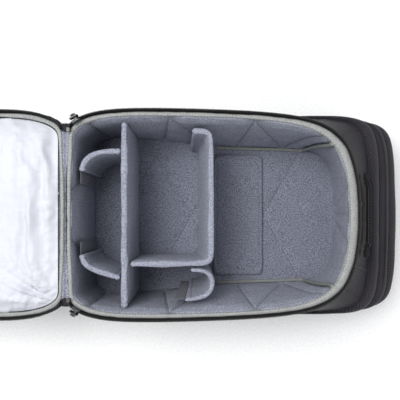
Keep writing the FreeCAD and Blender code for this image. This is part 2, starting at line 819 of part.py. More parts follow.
def main():
    os.makedirs("parts", exist_ok=True)
    for name, shape in build().items():
        if not shape.isValid() or not shape.Solids:
            print("problem with", name)
        print(f"{name:34s} {len(shape.Solids)} solids {sum(s.Volume for s in shape.Solids) / 1000:9.2f} cm3")
        shape.exportStep(f"parts/{name}.step")


main()
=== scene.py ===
# %% [markdown]
# # A drone carrying case in fabric, foam and zips
#
# The case is a padded backpack that lies on its harness with its front lid folded open. We start from a frame
# of plain solids, which says where every panel, divider, zip slider and joint is. This lesson gives each soft
# block the look of the cloth, foam or tape it stands for. Nearly every piece is a surface that runs round the
# case, so we work it out with numpy as one grid of points and turn the grid into a mesh.

# %% Load the frame
import json

import bpy
import numpy as np
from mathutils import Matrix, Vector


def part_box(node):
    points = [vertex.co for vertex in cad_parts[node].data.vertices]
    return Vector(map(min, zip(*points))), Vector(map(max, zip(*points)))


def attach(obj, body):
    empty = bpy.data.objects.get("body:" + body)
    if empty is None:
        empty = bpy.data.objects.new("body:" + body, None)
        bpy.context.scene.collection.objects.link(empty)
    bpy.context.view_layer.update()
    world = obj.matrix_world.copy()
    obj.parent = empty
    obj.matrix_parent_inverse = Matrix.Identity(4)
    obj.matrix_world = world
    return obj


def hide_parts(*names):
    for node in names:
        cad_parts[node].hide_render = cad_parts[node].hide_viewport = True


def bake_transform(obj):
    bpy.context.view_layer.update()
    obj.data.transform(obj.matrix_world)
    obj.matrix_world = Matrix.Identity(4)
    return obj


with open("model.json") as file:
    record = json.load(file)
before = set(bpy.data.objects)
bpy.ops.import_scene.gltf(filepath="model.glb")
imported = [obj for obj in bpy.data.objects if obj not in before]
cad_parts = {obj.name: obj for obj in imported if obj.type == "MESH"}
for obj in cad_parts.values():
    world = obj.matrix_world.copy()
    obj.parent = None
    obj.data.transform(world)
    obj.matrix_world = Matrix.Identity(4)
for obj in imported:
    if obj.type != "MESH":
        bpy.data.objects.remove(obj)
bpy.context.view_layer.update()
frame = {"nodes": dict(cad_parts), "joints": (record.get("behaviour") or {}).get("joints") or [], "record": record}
nodes = frame["nodes"]

# %% [markdown]
# ## The outlines
#
# A bag is cut from paper patterns. Here there are four: the bound rim, the wider base, the floor and the foam
# that stands on it. Each is half a closed curve, given as shares of a length and of a half width, and
# mirrored for the other side. A cubic B-spline through such control points is smooth without any rounding of
# corners afterwards.

# %% The pattern shapes
RIM_SHAPE = [
    (0.0, 0.0), (0.0, 0.45), (0.0, 0.74), (0.0, 0.865), (0.07, 0.965), (0.19, 1.012),
    (0.497, 0.993), (0.75, 0.958), (0.907, 0.853), (0.984, 0.573), (1.004, 0.0),
]
BASE_SHAPE = [
    (0.0, 0.0), (0.0, 0.45), (0.0, 0.74), (0.0, 0.90), (0.045, 0.995), (0.19, 1.0),
    (0.497, 1.0), (0.80, 1.0), (0.965, 1.0), (1.0, 0.72), (1.0, 0.0),
]
FLOOR_SHAPE = [
    (0.0, 0.0), (0.0, 0.45), (0.0, 0.74), (0.0, 0.88), (0.05, 0.99), (0.19, 1.0),
    (0.46, 0.875), (0.75, 0.855), (0.93, 0.845), (1.0, 0.60), (1.0, 0.0),
]
MAIN_SHAPE = [
    (0.0, 0.0), (0.0, 0.45), (0.0, 0.74), (0.0, 0.88), (0.07, 0.98), (0.24, 1.0),
    (0.55, 1.0), (0.82, 0.98), (0.955, 0.94), (1.0, 0.68), (1.0, 0.0),
]


def travelled(line):
    """The distance gone at each point of a polyline: the running sum of its steps."""
    return np.concatenate([[0], np.cumsum(np.linalg.norm(np.diff(line, axis=0), axis=1))])


# %% One level of the case


class Level:
    """One height of the case: a mirrored pattern shape stretched between two ends and to a half width."""

    def __init__(self, z, low, high, half, shape):
        halved = np.array(shape)
        mirrored = halved[-2:0:-1] * (1, -1)
        self.share = np.vstack([halved, mirrored])
        self.z, self.low, self.high, self.half = z, low, high, half

    def poles(self):
        """The shape's shares of the length and of the half width, turned into places."""
        return self.share * (self.high - self.low, self.half) + (self.low, 0)

    def changed(self, **values):
        """A copy of the level with some of its values replaced."""
        level = object.__new__(Level)
        level.__dict__.update(self.__dict__)
        level.__dict__.update(values)
        return level

    def inset(self, by, at_bottom=None):
        """Drawn in by a distance all round, or by another one at the bottom end."""
        end = by if at_bottom is None else at_bottom
        return self.changed(low=self.low + end, high=self.high - by, half=self.half - by)

    def at(self, z):
        """The same outline at another height."""
        return self.changed(z=z)

    def mix(self, other, t):
        """Every value of the two levels blended, so a stack of mixes is a straight-sided loft."""
        pairs = {key: (1 - t) * value + t * other.__dict__[key] for key, value in self.__dict__.items()}
        return self.changed(**pairs)

    def points(self, u):
        """The mean of four neighbouring poles at each point, with the uniform cubic B-spline's weights."""
        u = np.asarray(u)
        poles = self.poles()
        at = u % 1.0 * len(poles)
        first = np.floor(at).astype(int)
        t = (at - first)[..., None]
        weights = ((1 - t) ** 3, 3 * t**3 - 6 * t**2 + 4, -3 * t**3 + 3 * t**2 + 3 * t + 1, t**3)
        xy = sum(w * poles[(first + k - 1) % len(poles)] for k, w in enumerate(weights)) / 6
        return np.concatenate([xy, np.full(u.shape + (1,), self.z)], axis=-1)

    def even(self, count, start=0.0, end=1.0, closed=False):
        """Parameters at equal steps of the distance travelled, from a table of that distance."""
        u = np.linspace(start, end, 4001)
        gone = travelled(self.points(u))
        wanted = np.linspace(0, gone[-1], count + closed)[:count]
        return np.interp(wanted, gone, u)

    def where(self, axis, value, start=0.0, end=0.5):
        """The parameter from start to end where the outline crosses a value of x (axis 0) or y (axis 1)."""
        u = np.linspace(start, end, 8001)
        return u[np.argmin(np.abs(self.points(u)[:, axis] - value))]


# %% Free curves and lofts


def clamped_spline(poles, t, degree=3):
    """Cox and de Boor's rule: each basis function is a blend of two of one degree lower."""
    poles = np.asarray(poles, float)
    count = len(poles)
    knots = np.concatenate([np.zeros(degree), np.linspace(0, 1, count - degree + 1), np.ones(degree)])
    t = np.clip(t, 0, 1 - 1e-9)[:, None]
    basis = ((knots[:-1] <= t) & (t < knots[1:])).astype(float)
    for p in range(1, degree + 1):
        rise = np.maximum(knots[p:-1] - knots[:-p - 1], 1e-12)
        fall = np.maximum(knots[p + 1:] - knots[1:-p], 1e-12)
        left = np.where(knots[p:-1] > knots[:-p - 1], (t - knots[:-p - 1]) / rise, 0) * basis[:, :-1]
        right = np.where(knots[p + 1:] > knots[1:-p], (knots[p + 1:] - t) / fall, 0) * basis[:, 1:]
        basis = left + right
    return basis @ poles


def loft(levels, u):
    """Point (i, j) of the surface is level j at parameter u[i]."""
    return np.stack([level.points(u) for level in levels], axis=1)


# %% The levels of this case
lid_hinge = next(joint for joint in frame["joints"] if joint["name"] == "lid_hinge")
X_HINGE, Z_HINGE = lid_hinge["pos_m"][0], lid_hinge["pos_m"][2]
LID_OPEN = np.radians(lid_hinge["range_deg"][1])
shell_low, shell_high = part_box("front_shell")
pad_foot, pad_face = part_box("floor_pad")
X_END, Z_FOOT, Z_WALL = shell_low.x, shell_low.z, shell_high.z
Z_BOARD, Z_FLOOR = pad_foot.z, pad_face.z
Z_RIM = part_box("rim_binding")[1].z
Z_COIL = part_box("zip_coil")[0].z
Z_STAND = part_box("riser_pad")[0].z
LID_FOOT = 2 * Z_HINGE - Z_WALL
SIDE_HALF = 0.142
RIM = Level(Z_WALL, X_END, 0.1485, 0.1425, RIM_SHAPE)
FRONT_FOOT = Level(Z_FOOT, X_END, shell_high.x, SIDE_HALF, BASE_SHAPE)
INNER_RIM = Level(Z_WALL, -0.239, 0.135, 0.129, RIM_SHAPE)
BINDING_EDGE = INNER_RIM.changed(half=INNER_RIM.half + 0.004)
INNER_FLOOR = Level(Z_FLOOR, -0.236, 0.1475, 0.126, FLOOR_SHAPE)
MAIN_FLOOR = Level(Z_BOARD, pad_foot.x, pad_face.x, 0.1384, MAIN_SHAPE)
BASE = Level(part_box("back_panel")[1].z, X_END + 0.002, 0.238, 0.1415, BASE_SHAPE)
ROUND = RIM.even(720, closed=True)
print(f"the rim is {np.linalg.norm(np.diff(RIM.points(ROUND), axis=0), axis=1).sum():.3f} m round")

# %% [markdown]
# ## From a grid to a mesh
#
# A grid piece has rows that run round the case and columns that run across the strip. It can close on itself
# both ways, and a strip that ends gets a fan of triangles to one point. The cloth patterns need real
# distances, so the UV map holds metres, measured along the grid. A closed piece whose volume comes out
# negative is inside out, and its faces are turned.

# %% Grid pieces


def unit(v):
    """Vectors divided by their length."""
    return v / np.maximum(np.linalg.norm(v, axis=-1, keepdims=True), 1e-12)


def distances(P):
    """UV in metres: lengths summed along the grid's first direction at its middle, and across at each row."""
    n, m = P.shape[:2]
    along = np.linalg.norm(np.roll(P, -1, 0) - P, axis=2)[:, m // 2]
    across = np.linalg.norm(np.roll(P, -1, 1) - P, axis=2)
    u = np.concatenate([[0], np.cumsum(along)])
    v = np.concatenate([np.zeros((n, 1)), np.cumsum(across, axis=1)], axis=1)
    v = np.concatenate([v, v[:1]], axis=0)
    return np.stack([np.broadcast_to(u[:, None], (n + 1, m + 1)), v], axis=-1)


def mesh_piece(name, points, faces, uv, material, body):
    """faces is a list of index arrays, one per number of corners, and uv a matching list of corner positions."""
    mesh = bpy.data.meshes.new(name)
    corners = np.concatenate([f.ravel() for f in faces])
    sizes = np.concatenate([np.full(len(f), f.shape[1]) for f in faces])
    mesh.vertices.add(len(points))
    mesh.vertices.foreach_set("co", np.ascontiguousarray(points, dtype=np.float32).ravel())
    mesh.loops.add(len(corners))
    mesh.loops.foreach_set("vertex_index", corners.astype(np.int32))
    mesh.polygons.add(len(sizes))
    mesh.polygons.foreach_set("loop_start", (np.cumsum(sizes) - sizes).astype(np.int32))
    mesh.polygons.foreach_set("loop_total", sizes.astype(np.int32))
    mesh.polygons.foreach_set("use_smooth", np.ones(len(sizes), dtype=bool))
    layer = mesh.uv_layers.new(name="cloth")
    layer.data.foreach_set("uv", np.concatenate([c.reshape(-1, 2) for c in uv]).astype(np.float32).ravel())
    mesh.update(calc_edges=True)
    mesh.validate()
    piece = bpy.data.objects.new(name, mesh)
    bpy.context.scene.collection.objects.link(piece)
    if material:
        mesh.materials.append(material)
    if body:
        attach(piece, body)
    return piece


def grid_piece(name, P, material=None, body="case", around=False, across=False, flat_uv=False):
    """Quads between neighbouring points. An open end of a closed strip gets a fan of triangles to its middle."""
    n, m = P.shape[:2]
    i, j = np.meshgrid(np.arange(n if around else n - 1), np.arange(m if across else m - 1), indexing="ij")
    ring = [(i, j), (i + 1, j), (i + 1, j + 1), (i, j + 1)]
    quads = np.stack([(a % n) * m + b % m for a, b in ring], axis=-1).reshape(-1, 4)
    points = P.reshape(-1, 3).copy()
    points[:, 2] = np.maximum(points[:, 2], 0.0)  # nothing goes below the table
    if flat_uv:
        quad_uv = points[quads][:, :, :2]
    else:
        lengths = distances(P)
        quad_uv = np.stack([lengths[a, b] for a, b in ring], axis=-2).reshape(-1, 4, 2)
    faces, uvs = [quads], [quad_uv]
    ends = []
    if across and not around:
        k = np.arange(m)
        ends = [((k + 1) % m, k), ((n - 1) * m + k, (n - 1) * m + (k + 1) % m)]
    if around and not across:
        k = np.arange(n)
        ends = [(k * m, (k + 1) % n * m), ((k + 1) % n * m + m - 1, k * m + m - 1)]
    for first, second in ends:
        centre = len(points)
        points = np.vstack([points, points[first].mean(axis=0)])
        faces.append(np.stack([first, second, np.full(len(first), centre)], axis=-1))
        uvs.append(points[faces[-1]][:, :, :2])
    a, b, c, d = (points[quads[:, k]] for k in range(4))
    volume = (np.einsum("ij,ij->i", a, np.cross(b, c)) + np.einsum("ij,ij->i", a, np.cross(c, d))).sum()
    if volume < 0:
        faces = [f[:, ::-1] for f in faces]
        uvs = [c[:, ::-1] for c in uvs]
    return mesh_piece(name, points, faces, uvs, material, body)


def normals_of(P, around=False, across=False):
    """The cross product of the step across the strip and the step along it points out of a strip's solid."""
    along = (np.roll(P, -1, 0) - np.roll(P, 1, 0)) if around else np.gradient(P, axis=0)
    over = (np.roll(P, -1, 1) - np.roll(P, 1, 1)) if across else np.gradient(P, axis=1)
    return unit(np.cross(over, along))


def wander(where, seed, longest, shortest, waves=14):
    """A smooth random height, about -1 to 1: plane waves of random direction, length and phase, added up."""
    dice = np.random.default_rng(seed)
    where = np.atleast_2d(where.T).T
    turn = dice.normal(size=(waves, where.shape[-1]))
    count = 2 * np.pi / np.exp(dice.uniform(np.log(shortest), np.log(longest), waves))
    way = unit(turn) * count[:, None]
    return np.cos(where @ way.T + dice.uniform(0, 2 * np.pi, waves)).sum(axis=-1) / np.sqrt(waves)


# %% [markdown]
# ## Threads and other small repeats
#
# A stitch is a short fat capsule half sunk in the cloth. Hundreds of them make the sewn lines that hold a bag
# together, so one stitch has only a few faces, and all the stitches of a line are one mesh. Each is placed by
# the frame of the line at its middle: its direction, the cloth's normal, and the side direction.

# %% Stitches


def along_path(path, at):
    """Points at distances `at` along a polyline, by linear interpolation on the distance travelled."""
    gone = travelled(path[:, :3])
    return np.column_stack([np.interp(at, gone, path[:, k]) for k in range(path.shape[1])])


def respaced(path, count):
    """The same line with its points at equal steps."""
    return along_path(path, np.linspace(0, travelled(path)[-1], count))


def capsules(name, centre, way, up, length, radius, material, body, sides=5):
    """Rings at -1, -0.62, 0.62 and 1 half lengths, with shares 0.35, 1, 1 and 0.35 of the radius."""
    side = unit(np.cross(up, way))
    turn = np.linspace(0, 2 * np.pi, sides, endpoint=False)
    steps = np.array([-1, -0.62, 0.62, 1]) * length / 2
    fat = np.array([0.35, 1, 1, 0.35]) * radius
    ring = np.cos(turn)[:, None, None] * side + np.sin(turn)[:, None, None] * up
    P = centre[:, None, None] + way[:, None, None] * steps[None, :, None, None]
    P = P + np.moveaxis(ring, 0, 1)[:, None] * fat[None, :, None, None]
    count = len(centre)
    base = np.arange(count)[:, None, None] * (4 * sides)
    r, k = np.meshgrid(np.arange(3), np.arange(sides), indexing="ij")
    quad = [(r, k), (r + 1, k), (r + 1, (k + 1) % sides), (r, (k + 1) % sides)]
    quads = np.stack([base + a * sides + b for a, b in quad], axis=-1).reshape(-1, 4)
    points = P.reshape(-1, 3)
    ends = [np.arange(sides)[::-1], 3 * sides + np.arange(sides)]
    caps = np.concatenate([base[:, 0] + end for end in ends])
    uv = [np.broadcast_to(points[f][:, :, :2], f.shape + (2,)) for f in (quads, caps)]
    a, b, c = (points[quads[:, q]] for q in (0, 1, 2))
    faces = [quads, caps]
    if np.einsum("ij,ij->i", a - centre.repeat(3 * sides, 0), np.cross(b - a, c - a)).sum() < 0:
        faces = [f[:, ::-1] for f in faces]
    return mesh_piece(name, points, faces, uv, material, body)


def stitch_line(name, path, normals, material, body="case", pitch=0.0048, length=0.0034, radius=0.00042):
    """One capsule every pitch along a path, lying on the cloth whose normals are given beside the path."""
    both = np.hstack([path, normals])
    total = travelled(path)[-1]
    middle = np.arange(pitch, total - pitch / 2, pitch)
    before = along_path(both, middle - length / 2)
    after = along_path(both, middle + length / 2)
    way = unit(after[:, :3] - before[:, :3])
    up = (before[:, 3:] + after[:, 3:]) / 2
    up = unit(up - way * np.einsum("ij,ij->i", up, way)[:, None])
    centre = (before[:, :3] + after[:, :3]) / 2 + up * radius * 0.4
    return capsules(name, centre, way, up, length, radius, material, body)


# %% [markdown]
# ## The finishes
#
# Five cloths make this bag: ballistic nylon outside, brushed loop fabric inside, a mottled binding tape,
# slippery silver lining in the lid and a spacer mesh on the back. Each one is the same recipe with its own
# numbers. A weave or a pile gives height and a light and dark pattern, and broad clouds give the slow changes
# of a dyed cloth. Three node groups hold those effects, and each material has its own Principled shader.

# %% Node helpers


def new_group(name, inputs, outputs):
    """A node group with sockets (label, kind, value) and (label, kind), and the nodes at its two ends."""
    group = bpy.data.node_groups.new(name, "ShaderNodeTree")
    for label, kind, value in inputs:
        socket = group.interface.new_socket(label, in_out="INPUT", socket_type=kind)
        if value is not None:
            socket.default_value = value
    for label, kind in outputs:
        group.interface.new_socket(label, in_out="OUTPUT", socket_type=kind)
    return group, group.nodes.new("NodeGroupInput"), group.nodes.new("NodeGroupOutput")


def wired(tree, kind, settings=(), **links):
    """A new node, with its settings made and each named input linked to a socket or set to a value."""
    node = tree.nodes.new(kind)
    for key, value in dict(settings).items():
        setattr(node, key, value)
    for key, value in links.items():
        socket = node.inputs[int(key[1:])] if key[0] == "_" and key[1:].isdigit() else node.inputs[key]
        if isinstance(value, bpy.types.NodeSocket):
            tree.links.new(value, socket)
        else:
            socket.default_value = value
    return node


def maths(tree, operation, a, b=None, c=None):
    """The result of one Math node on sockets or numbers."""
    links = {"_0": a}
    if b is not None:
        links["_1"] = b
    if c is not None:
        links["_2"] = c
    return wired(tree, "ShaderNodeMath", {"operation": operation}, **links).outputs[0]


# %% Node group: a woven cloth
def make_weave_group():
    """Height is the higher of two crossing sets of round threads. Which set is on top changes from square to
    square, and a twill moves the change one square along at every thread."""
    group, start, end = new_group(
        "woven threads",
        [("Vector", "NodeSocketVector", None), ("Threads", "NodeSocketFloat", 900.0),
         ("Twill", "NodeSocketFloat", 2.0)],
        [("Height", "NodeSocketFloat"), ("Pattern", "NodeSocketFloat")],
    )
    apart = wired(group, "ShaderNodeSeparateXYZ", Vector=start.outputs["Vector"])
    x = maths(group, "MULTIPLY", apart.outputs["X"], start.outputs["Threads"])
    y = maths(group, "MULTIPLY", apart.outputs["Y"], start.outputs["Threads"])
    squares = maths(group, "ADD", maths(group, "FLOOR", x), maths(group, "FLOOR", y))
    turn = maths(group, "FLOORED_MODULO", squares, maths(group, "MULTIPLY", start.outputs["Twill"], 2.0))
    top = maths(group, "LESS_THAN", turn, start.outputs["Twill"])
    warp = maths(group, "ABSOLUTE", maths(group, "SINE", maths(group, "MULTIPLY", x, np.pi)))
    weft = maths(group, "ABSOLUTE", maths(group, "SINE", maths(group, "MULTIPLY", y, np.pi)))
    over = maths(group, "MULTIPLY", warp, maths(group, "MULTIPLY_ADD", top, 0.6, 0.4))
    under = maths(group, "MULTIPLY", weft, maths(group, "MULTIPLY_ADD", top, -0.6, 1.0))
    group.links.new(maths(group, "MAXIMUM", over, under), end.inputs["Height"])
    group.links.new(top, end.inputs["Pattern"])
    return group


# %% Node group: a brushed pile
def make_pile_group():
    """Fine noise is the tangle of fibre ends and coarser noise the tufts that they gather in."""
    group, start, end = new_group(
        "brushed pile",
        [("Vector", "NodeSocketVector", None), ("Fibre", "NodeSocketFloat", 1900.0),
         ("Tuft", "NodeSocketFloat", 520.0)],
        [("Height", "NodeSocketFloat"), ("Fleck", "NodeSocketFloat")],
    )
    where = start.outputs["Vector"]
    fine = wired(group, "ShaderNodeTexNoise", Vector=where, Scale=start.outputs["Fibre"], Detail=2.0)
    tuft = wired(group, "ShaderNodeTexNoise", Vector=where, Scale=start.outputs["Tuft"], Detail=3.0)
    height = maths(group, "ADD", maths(group, "MULTIPLY", fine.outputs[0], 0.45),
                   maths(group, "MULTIPLY", tuft.outputs[0], 0.55))
    fleck = wired(group, "ShaderNodeMapRange", {"interpolation_type": "SMOOTHSTEP"}, _0=height, _1=0.34, _2=0.66)
    group.links.new(height, end.inputs["Height"])
    group.links.new(fleck.outputs[0], end.inputs["Fleck"])
    return group


# %% Node group: slow changes of tone
def make_cloud_group():
    """A colour is made lighter or darker by broad noise, and by a finer pattern that the material passes in."""
    group, start, end = new_group(
        "dyed tone",
        [("Vector", "NodeSocketVector", None), ("Colour", "NodeSocketColor", (0.5, 0.5, 0.5, 1)),
         ("Cloud size", "NodeSocketFloat", 22.0), ("Cloud", "NodeSocketFloat", 0.12),
         ("Pattern", "NodeSocketFloat", 0.5), ("Contrast", "NodeSocketFloat", 0.2)],
        [("Colour", "NodeSocketColor"), ("Tone", "NodeSocketFloat")],
    )
    noise = wired(group, "ShaderNodeTexNoise", Vector=start.outputs["Vector"], Scale=start.outputs["Cloud size"],
                  Detail=3.0)
    slow = maths(group, "MULTIPLY", maths(group, "SUBTRACT", noise.outputs[0], 0.5),
                 maths(group, "MULTIPLY", start.outputs["Cloud"], 2.0))
    fast = maths(group, "MULTIPLY", maths(group, "SUBTRACT", start.outputs["Pattern"], 0.5),
                 start.outputs["Contrast"])
    tone = maths(group, "ADD", maths(group, "ADD", slow, fast), 1.0)
    scaled = wired(group, "ShaderNodeVectorMath", {"operation": "SCALE"}, _0=start.outputs["Colour"], Scale=tone)
    group.links.new(scaled.outputs[0], end.inputs["Colour"])
    group.links.new(tone, end.inputs["Tone"])
    return group


weave_group, pile_group, cloud_group = make_weave_group(), make_pile_group(), make_cloud_group()
print("node groups:", [g.name for g in (weave_group, pile_group, cloud_group)])


# %% The cloth recipe
def group_node(tree, group, **links):
    """A node group placed in a material, with each input linked or set."""
    return wired(tree, "ShaderNodeGroup", {"node_tree": group}, **links)


def cloth(name, colour, weave=None, pile=None, cloud=0.12, contrast=0.2, roughness=0.85, sheen=0.2, bump=0.0003,
          specular=0.3, coordinates="UV"):
    """A fabric: weave is (threads per metre, twill), pile is (fibres, tufts per metre); one of them is given."""
    material = bpy.data.materials.new(name)
    material.use_nodes = True
    tree = material.node_tree
    shader = tree.nodes["Principled BSDF"]
    shader.inputs["Roughness"].default_value = roughness
    shader.inputs["Sheen Weight"].default_value = sheen
    shader.inputs["Sheen Roughness"].default_value = 0.5
    shader.inputs["Specular IOR Level"].default_value = specular
    where = tree.nodes.new("ShaderNodeTexCoord")
    fine = where.outputs[coordinates]
    if weave:
        pattern = group_node(tree, weave_group, Vector=fine, Threads=float(weave[0]), Twill=float(weave[1]))
    else:
        pattern = group_node(tree, pile_group, Vector=fine, Fibre=float(pile[0]), Tuft=float(pile[1]))
    tone = group_node(tree, cloud_group, Vector=where.outputs["Object"], Colour=(*colour, 1.0), Cloud=cloud,
                      Pattern=pattern.outputs[1], Contrast=contrast)
    tree.links.new(tone.outputs["Colour"], shader.inputs["Base Color"])
    lift = wired(tree, "ShaderNodeBump", Height=pattern.outputs[0], Distance=bump, Strength=1.0)
    tree.links.new(lift.outputs[0], shader.inputs["Normal"])
    return material


def hard(name, colour, roughness=0.4, metallic=0.0, grain=900.0, bump=0.00004, cloud=0.15):
    """Moulded plastic, rubber or painted metal: a faint grain in its height and slow clouds in its colour."""
    material = bpy.data.materials.new(name)
    material.use_nodes = True
    tree = material.node_tree
    shader = tree.nodes["Principled BSDF"]
    shader.inputs["Roughness"].default_value = roughness
    shader.inputs["Metallic"].default_value = metallic
    where = tree.nodes.new("ShaderNodeTexCoord")
    pattern = group_node(tree, pile_group, Vector=where.outputs["Object"], Fibre=grain, Tuft=grain / 4)
    tone = group_node(tree, cloud_group, Vector=where.outputs["Object"], Colour=(*colour, 1.0), Cloud=cloud,
                      Pattern=pattern.outputs["Fleck"], Contrast=0.1)
    tree.links.new(tone.outputs["Colour"], shader.inputs["Base Color"])
    lift = wired(tree, "ShaderNodeBump", Height=pattern.outputs["Height"], Distance=bump, Strength=1.0)
    tree.links.new(lift.outputs[0], shader.inputs["Normal"])
    return material


# %% The materials
nylon = cloth("ballistic nylon", (0.030, 0.0272, 0.0335), weave=(900, 2), cloud=0.3, contrast=1.4, roughness=0.6,
              sheen=0.0, specular=0.25)
mesh_cloth = cloth("spacer mesh", (0.022, 0.022, 0.025), weave=(420, 1), cloud=0.15, contrast=0.7, bump=0.0008,
                   sheen=0.0, specular=0.2)
slate = cloth("slate loop fabric", (0.205, 0.214, 0.268), pile=(1300, 520), cloud=0.10, contrast=1.1,
              roughness=0.95, sheen=0.05, bump=0.0009, coordinates="Object")
# A lighter copy of the same slate loop fabric for the walls, dividers and hinge strip: painted light, which makes
# these faces brighter than the floor's slate.
slate_lightened = cloth("slate loop fabric, lightened copy", (0.300, 0.312, 0.380), pile=(1300, 520), cloud=0.08, contrast=0.9,
                    roughness=0.95, sheen=0.05, bump=0.0008, coordinates="Object")
stone = cloth("stone binding", (0.345, 0.352, 0.345), pile=(1400, 620), cloud=0.08, contrast=0.55,
              roughness=0.95, sheen=0.05, bump=0.0004, coordinates="Object")
# A darker copy of the stone binding tape for the bound seams deep in the case: painted shade.
stone_shaded = cloth("stone binding, shaded copy", (0.235, 0.242, 0.232), pile=(1400, 620), cloud=0.08, contrast=0.5,
                   roughness=0.95, sheen=0.0, bump=0.0004, coordinates="Object")
silver = cloth("silver lining", (0.655, 0.665, 0.73), weave=(1500, 1), cloud=0.05, contrast=0.04, roughness=0.42,
               sheen=0.0, bump=0.00006, specular=0.4)
tape_black = cloth("zip tape", (0.018, 0.017, 0.018), weave=(1100, 2), contrast=0.6, roughness=0.8, sheen=0.0,
                   specular=0.2)
webbing = cloth("webbing", (0.018, 0.018, 0.021), weave=(620, 2), contrast=0.6, roughness=0.7, bump=0.0005,
                sheen=0.0, specular=0.25)
thread_grey = cloth("grey thread", (0.50, 0.52, 0.58), weave=(2500, 1), contrast=0.2, coordinates="Object")
thread_dark = cloth("dark thread", (0.10, 0.105, 0.125), weave=(2500, 1), contrast=0.2, coordinates="Object")
thread_pale = cloth("pale thread", (0.55, 0.54, 0.55), weave=(2500, 1), contrast=0.2, coordinates="Object")
hook = cloth("hook tape", (0.135, 0.141, 0.172), weave=(700, 1), contrast=0.8, bump=0.0006, coordinates="Object")
coil_plastic = hard("zip coil", (0.030, 0.029, 0.029), roughness=0.35)
board_plastic = hard("stiffener board", (0.12, 0.12, 0.12), roughness=0.5)
foam_grey = cloth("foam", (0.09, 0.09, 0.095), pile=(900, 300), coordinates="Object")
gunmetal = hard("gunmetal", (0.07, 0.07, 0.073), roughness=0.42, metallic=0.8)
pull_rubber = hard("pull rubber", (0.028, 0.028, 0.030), roughness=0.55)
buckle_plastic = hard("buckle plastic", (0.025, 0.025, 0.026), roughness=0.42)
print(len(bpy.data.materials), "materials")

# %% [markdown]
# ## Camera, floor and light
#
# The case is looked at from straight above. A white floor and a large soft light over it give the even light
# of a studio, and a bright world fills the shadows inside the case. The lens is shifted a little, which
# frames the case and its lid without tilting the camera.

# %% Camera, floor, light
camera_data = bpy.data.cameras.new("camera")
camera = bpy.data.objects.new("camera", camera_data)
bpy.context.scene.collection.objects.link(camera)
camera.location = (-0.0675, 0.0, 0.875)
camera_data.lens = 45.9
camera_data.shift_y = 0.0375
bpy.context.scene.camera = camera

floor_mesh = bpy.data.meshes.new("studio_floor")
floor_mesh.from_pydata([(-4, -4, 0), (4, -4, 0), (4, 4, 0), (-4, 4, 0)], [], [(0, 1, 2, 3)])
studio_floor = bpy.data.objects.new("studio_floor", floor_mesh)
bpy.context.scene.collection.objects.link(studio_floor)
floor_mesh.materials.append(hard("studio floor", (0.97, 0.97, 0.97), roughness=0.9, cloud=0.0, bump=0.0))

world = bpy.data.worlds.new("studio")
world.use_nodes = True
world.node_tree.nodes["Background"].inputs["Color"].default_value = (0.97, 0.985, 1.0, 1.0)
world.node_tree.nodes["Background"].inputs["Strength"].default_value = 0.60
bpy.context.scene.world = world
bpy.context.scene.view_settings.view_transform = "Standard"


def area_light(name, place, target, size, power):
    """A square soft light, tilted by the angle between its way and straight down, then turned about Z."""
    data = bpy.data.lights.new(name, "AREA")
    data.size, data.energy = size, power
    light = bpy.data.objects.new(name, data)
    light.location = place
    way = np.array(target) - np.array(place)
    tilt = np.arctan2(np.hypot(way[0], way[1]), -way[2])
    light.rotation_euler = (tilt, 0.0, np.arctan2(way[1], way[0]) - np.pi / 2)
    bpy.context.scene.collection.objects.link(light)


area_light("overhead", (-0.8, 0.4, 2.1), (0.0, 0, 0.1), 1.1, 37.0)
area_light("side", (1.6, -1.4, 1.5), (0, 0, 0.1), 1.2, 6.0)
print("camera over x", camera.location.x, "height", camera.location.z)

# %% [markdown]
# ## The outside walls and their padded rolls
#
# The bag's outside is one band of ballistic nylon, leaning outwards at its top end, with three foam-filled
# rolls sewn round it. A roll could be a bent tube, but its foot and its head follow different patterns, so it
# is a loft: a smooth curve through a few key levels lets it out and brings it in again. Fabric on foam never
# lies smooth, so a little random height and a row of gathers beside each seam are added along the normals.

# %% Bands and rolls


def closed_band(outer, thickness=0.002):
    """The face's levels, then the last and the first drawn in by the cloth's thickness, to close the loop."""
    return outer + [outer[-1].inset(thickness), outer[0].inset(thickness)]


def roll_levels(keys, count=30):
    """keys are (height, top end, how proud), and the clamped spline they steer is the roll's section."""
    section = clamped_spline(keys, np.linspace(0, 1, count))
    return closed_band([Level(z, X_END - proud, end, SIDE_HALF + proud, BASE_SHAPE)
                        for z, end, proud in section])


def sewn_cloth(P, seed, ease=0.0004, gather=0.0005):
    """Raises the face along its normals: broad ease, and gathers that fade away from the band's two seams."""
    face = P.shape[1] - 2
    N = normals_of(P, around=True, across=True)
    across = np.linspace(0, 1, face)
    near_seam = np.exp(-((across / 0.22) ** 2)) + np.exp(-(((1 - across) / 0.22) ** 2))
    along = travelled(P[:, face // 2])
    lift = ease * wander(P[:, :face], seed, 0.16, 0.03)
    lift = lift + gather * wander(along[:, None], seed + 1, 0.022, 0.009)[:, None] * near_seam
    lift[:, [0, -1]] *= 0.3
    raised = P.copy()
    raised[:, :face] += N[:, :face] * lift[..., None]
    return raised


def side_level(z, top_end, half=SIDE_HALF):
    """A level of the sides, with the base's shape."""
    return Level(z, X_END, top_end, half, BASE_SHAPE)


def soft_band(name, levels, seed, material, node):
    """A loft round the whole case with its cloth eased and gathered, in place of one CAD node."""
    P = sewn_cloth(loft(levels, ROUND), seed)
    piece = grid_piece(name, P, material, around=True, across=True)
    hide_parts(node)


